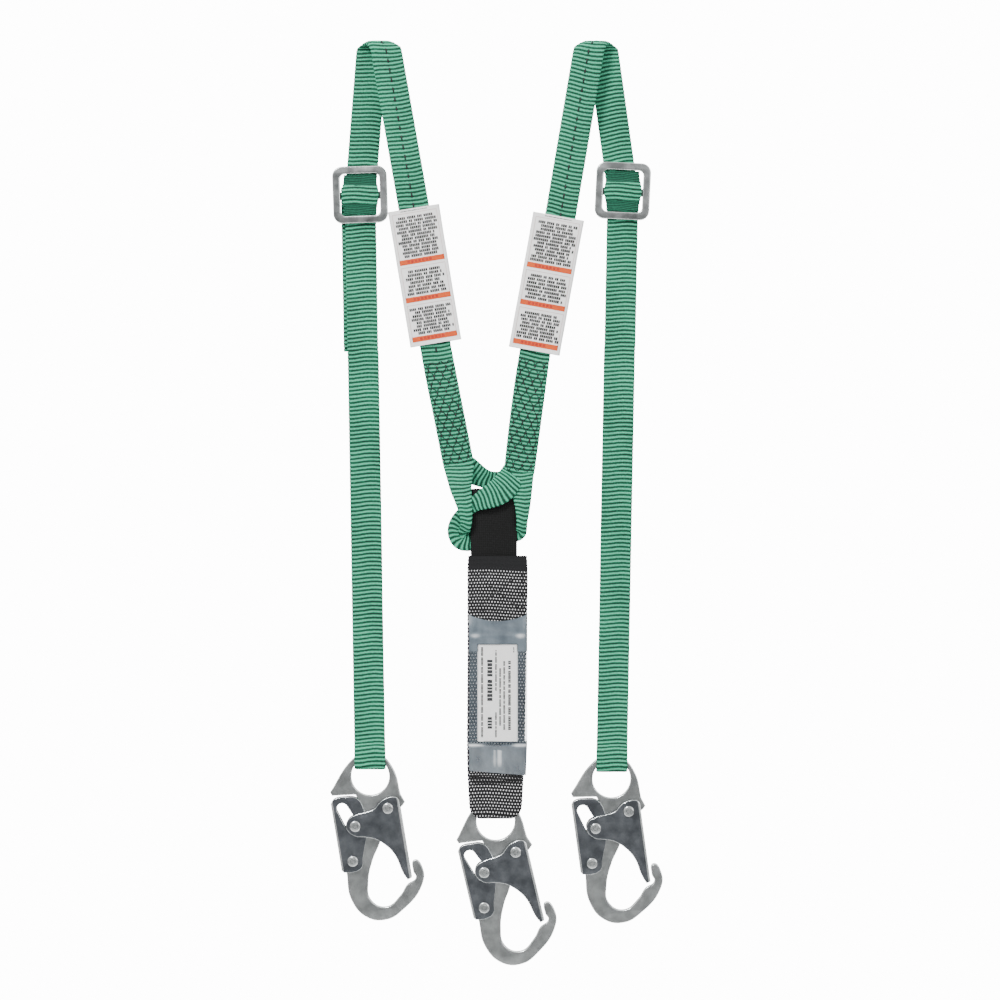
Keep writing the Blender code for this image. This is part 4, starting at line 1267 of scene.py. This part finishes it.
def film_look(place, hinge):
    """How much painted highlight and how hazy the film is: hazy at both ends, thin between them, clear over
    the card.
    """
    x, z = (place.x - hinge.x) / MM, place.z / MM
    upper, lower = WRAP_SEALS
    low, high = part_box("pack_inner_label")
    if low[0] < place.x < high[0] and low[2] < place.z < high[2] and place.y < hinge.y:
        return 0.0, 0.03
    # Painted highlights: along the lower seal, at the upper seal's corners, at the top edges and in two
    # streaks down the lower flap.
    glint = 0.95 * hump(z - lower, 1.1) * min(max(abs(x) / 6 - 1.6, 0), 1)
    glint += 0.65 * hump(z - upper, 1.7) * hump(abs(x) - 18.5, 3.6)
    glint += 0.42 * hump(z + 467, 7) * (x / 24.3) ** 6
    if -589 < z < lower - 4:
        fade = min((z + 589) / 5, 1)
        glint += fade * (0.55 * hump(x + 2.8, 0.9) + 0.75 * hump(x - 1.6, 1.5))
    hazy = 0.30 if lower < z < upper - 13 else 0.90
    return min(glint, 1.0), hazy


def build_inner_label():
    """The card under the film, with stand-in print that runs lengthwise."""
    low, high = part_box("pack_inner_label")
    centre = (Vector(low) + Vector(high)) / 2
    mesh = flat_mesh(rounded_rectangle(*CARD_SIZE, 1, 3), [], 0.3, 0.1, UPRIGHT, centre)
    add_piece("pack_card", smooth_shaded(mesh), "label_white", "pack", ("pack_inner_label",))
    boxes = [
        (x, z, tall, wide)
        for x, middle, length, height in CARD_LINES
        for z, _, wide, tall in greeked_line(middle, 0, length, height)
    ]
    face = Matrix.Translation(centre + at(0, -0.22, 0))
    add_piece("pack_card_ink", ink_mesh(boxes, face), "ink_black", "pack")


def casing_thickness(casing, flex):
    """One layer round the pack, and two sewn together through the hook's eye."""
    return np.interp(casing.centre[:, 2], [flex.z - 6 * MM, flex.z + 8 * MM], [4.6 * MM, 2.4 * MM])


def build_pack():
    """The black loop, the grey webbing with its folds, and the film with the card under it."""
    hinge, flex = joint_place("pack_flex"), joint_place("pack_hook_flex")
    loop = Strap(loop_stations(hinge))
    obj = add_piece("pack_black_loop", strap_mesh(loop, 2.4 * MM, 1.9 * MM, 0.03 * MM), "black_webbing", None,
                    ("pack_loop",))
    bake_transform(obj)

    casing = Strap(casing_stations(flex, hook_matrix("pack").translation))
    mesh = strap_mesh(casing, casing_thickness(casing, flex), RIB, 0.16 * MM)
    obj = add_piece("pack_webbing", mesh, "grey_webbing", None, ("pack_casing_webbing", "pack_hook_webbing"))
    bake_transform(obj)

    core = flat_mesh(folded_outline(8, 2.2, 0.4, -31, -143), [], 44, 0.15, SIDEWAYS, hinge)
    lay_uv(core, [(vert.co.x, vert.co.z) for vert in core.vertices])
    add_piece("pack_folds", smooth_shaded(core), "grey_webbing", "pack", ("pack_tear_webbing",))

    film = wrap_mesh(hinge)
    lay_uv(film, [film_look(vert.co, hinge) for vert in film.vertices])
    add_piece("pack_wrap", film, "shrink_wrap", "pack", ("pack_shrink_wrap",))
    build_inner_label()
    build_pack_stitches(casing, flex)


def box_stitches(casing, first, last):
    """A box of stitches with one diagonal drawn each way, on the casing's front half or back half."""
    upper, lower = casing.ring_at_z(BOX_TOP * MM, first, last), casing.ring_at_z(BOX_FOOT * MM, first, last)
    begin, end = min(upper, lower), max(upper, lower)
    result = []
    for ring in (upper, lower):
        x = -BOX_HALF
        while x < BOX_HALF:
            result.append(casing.stitch((ring, x * MM), (ring, (x + 2.6) * MM), CASING_FACE))
            x += 3.2
    for offset in (-20.6 * MM, 20.6 * MM):
        result += dashes(casing, begin, end, offset, CASING_FACE, *BOX_STITCH)
    for side in (-BOX_HALF * MM, BOX_HALF * MM):
        for k in range(15):
            places = ((begin + (end - begin) * t, side * (2 * t - 1)) for t in (k / 15, (k + 0.8) / 15))
            result.append(casing.stitch(*places, CASING_FACE, begin))
    return result


def foot_stitches(casing, flex):
    """The dense dark seam where the two layers meet above the hook."""
    heights = casing_thickness(casing, flex) / 2 + 0.35 * MM
    result = []
    for row in range(FOOT_ROWS):
        for first, last in CASING_HALVES:
            ring = casing.ring_at_z((FOOT_SEAM - 1.2 * row) * MM, first, last)
            half = casing.width[ring] / 2 - 1.5 * MM
            x = -half + DICE.uniform(0, 1.2) * MM
            while x < half - 2.2 * MM:
                result.append(casing.stitch((ring, x), (ring + 1, x + 2.2 * MM), heights[ring]))
                x += 2.5 * MM
    return result


def build_pack_stitches(casing, flex):
    stitches = [stitch for half in CASING_HALVES for stitch in box_stitches(casing, *half)]
    add_piece("pack_box_stitching", thread_mesh(stitches), "black_thread", "pack")
    obj = add_piece("pack_foot_stitching", thread_mesh(foot_stitches(casing, flex)), "black_thread")
    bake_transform(obj)


# stage

def add_area_light(name, place, size, energy, target):
    data = bpy.data.lights.new(name, "AREA")
    data.shape = "RECTANGLE"
    data.size = size
    data.size_y = size
    data.energy = energy
    obj = shown(name, data)
    obj.location = place
    obj.rotation_euler = (Vector(target) - Vector(place)).to_track_quat("-Z", "Y").to_euler()


def build_world():
    """White behind the lanyard. What lights it is bright above, dimmer in front and below."""
    world = bpy.data.worlds.new("studio")
    world.use_nodes = True
    tree = world.node_tree
    backdrop = tree.nodes["Background"]
    backdrop.inputs["Color"].default_value = (1, 1, 1, 1)
    backdrop.inputs["Strength"].default_value = BACKDROP
    dome = tree.nodes.new("ShaderNodeBackground")
    direction = tree.nodes.new("ShaderNodeTexCoord").outputs["Generated"]
    split = tree.nodes.new("ShaderNodeSeparateXYZ")
    link(tree, direction, split.inputs[0])
    height = maths(tree, "MULTIPLY_ADD", split.outputs["Z"], 0.5, 0.5)
    stops = ((0.0, (0.34,) * 3), (0.42, (0.46,) * 3), (0.60, (0.95,) * 3), (1.0, (1.60,) * 3))
    link(tree, ramp(tree, height, stops), dome.inputs["Color"])
    path = tree.nodes.new("ShaderNodeLightPath")
    mix = tree.nodes.new("ShaderNodeMixShader")
    link(tree, path.outputs["Is Camera Ray"], mix.inputs[0])
    link(tree, dome.outputs[0], mix.inputs[1])
    link(tree, backdrop.outputs[0], mix.inputs[2])
    link(tree, mix.outputs[0], tree.nodes["World Output"].inputs["Surface"])
    bpy.context.scene.world = world


def build_stage():
    """The floor that fades out, the lights and the camera."""
    half, z = FLOOR_HALF, CAD_BOX[0][2] - FLOOR_DROP
    corners = [(-half, -half, z), (half, -half, z), (half, half, z), (-half, half, z)]
    mesh = bpy.data.meshes.new("floor")
    mesh.from_pydata(corners, [], [(0, 1, 2, 3)])
    floor = shown("floor", mesh)
    material, tree, shader = new_material("floor", 0.8)
    shader.inputs["Base Color"].default_value = (0.86, 0.86, 0.855, 1)
    place = tree.nodes.new("ShaderNodeTexCoord").outputs["Object"]
    distance = tree.nodes.new("ShaderNodeVectorMath")
    distance.operation = "LENGTH"
    flatten = tree.nodes.new("ShaderNodeMapping")
    flatten.inputs["Scale"].default_value = (1 / FLOOR_HALF, 1 / FLOOR_HALF, 0)
    link(tree, place, flatten.inputs["Vector"])
    link(tree, flatten.outputs["Vector"], distance.inputs[0])
    fade = ramp(tree, distance.outputs["Value"], ((0.25, (1, 1, 1)), (0.98, (0, 0, 0))))
    link(tree, fade, shader.inputs["Alpha"])
    mesh.materials.append(material)

    build_world()
    middle = (0, 0, -0.37)
    add_area_light("key", (-0.9, -1.6, 1.4), 0.6, 74, middle)
    add_area_light("fill", (1.6, -1.7, 0.2), 1.2, 17, middle)
    add_area_light("back", (0.6, 1.8, 0.8), 1.2, 12, middle)

    data = bpy.data.cameras.new("camera")
    data.lens = 100
    data.sensor_width = 36
    camera = shown("camera", data)
    camera.location = CAMERA_AT
    camera.rotation_euler = (pi / 2, 0, 0)
    bpy.context.scene.camera = camera


build_stage()
hook_pieces = hook_shapes()
for hook_name in ("left", "right", "pack"):
    build_hook(hook_name, hook_pieces)
for leg_name in LEGS:
    build_leg(leg_name)
build_pack()
for node_name, node in frame["nodes"].items():
    if node_name.endswith("_spring"):
        node.material_slots[0].material = MATERIALS["bright_steel"]
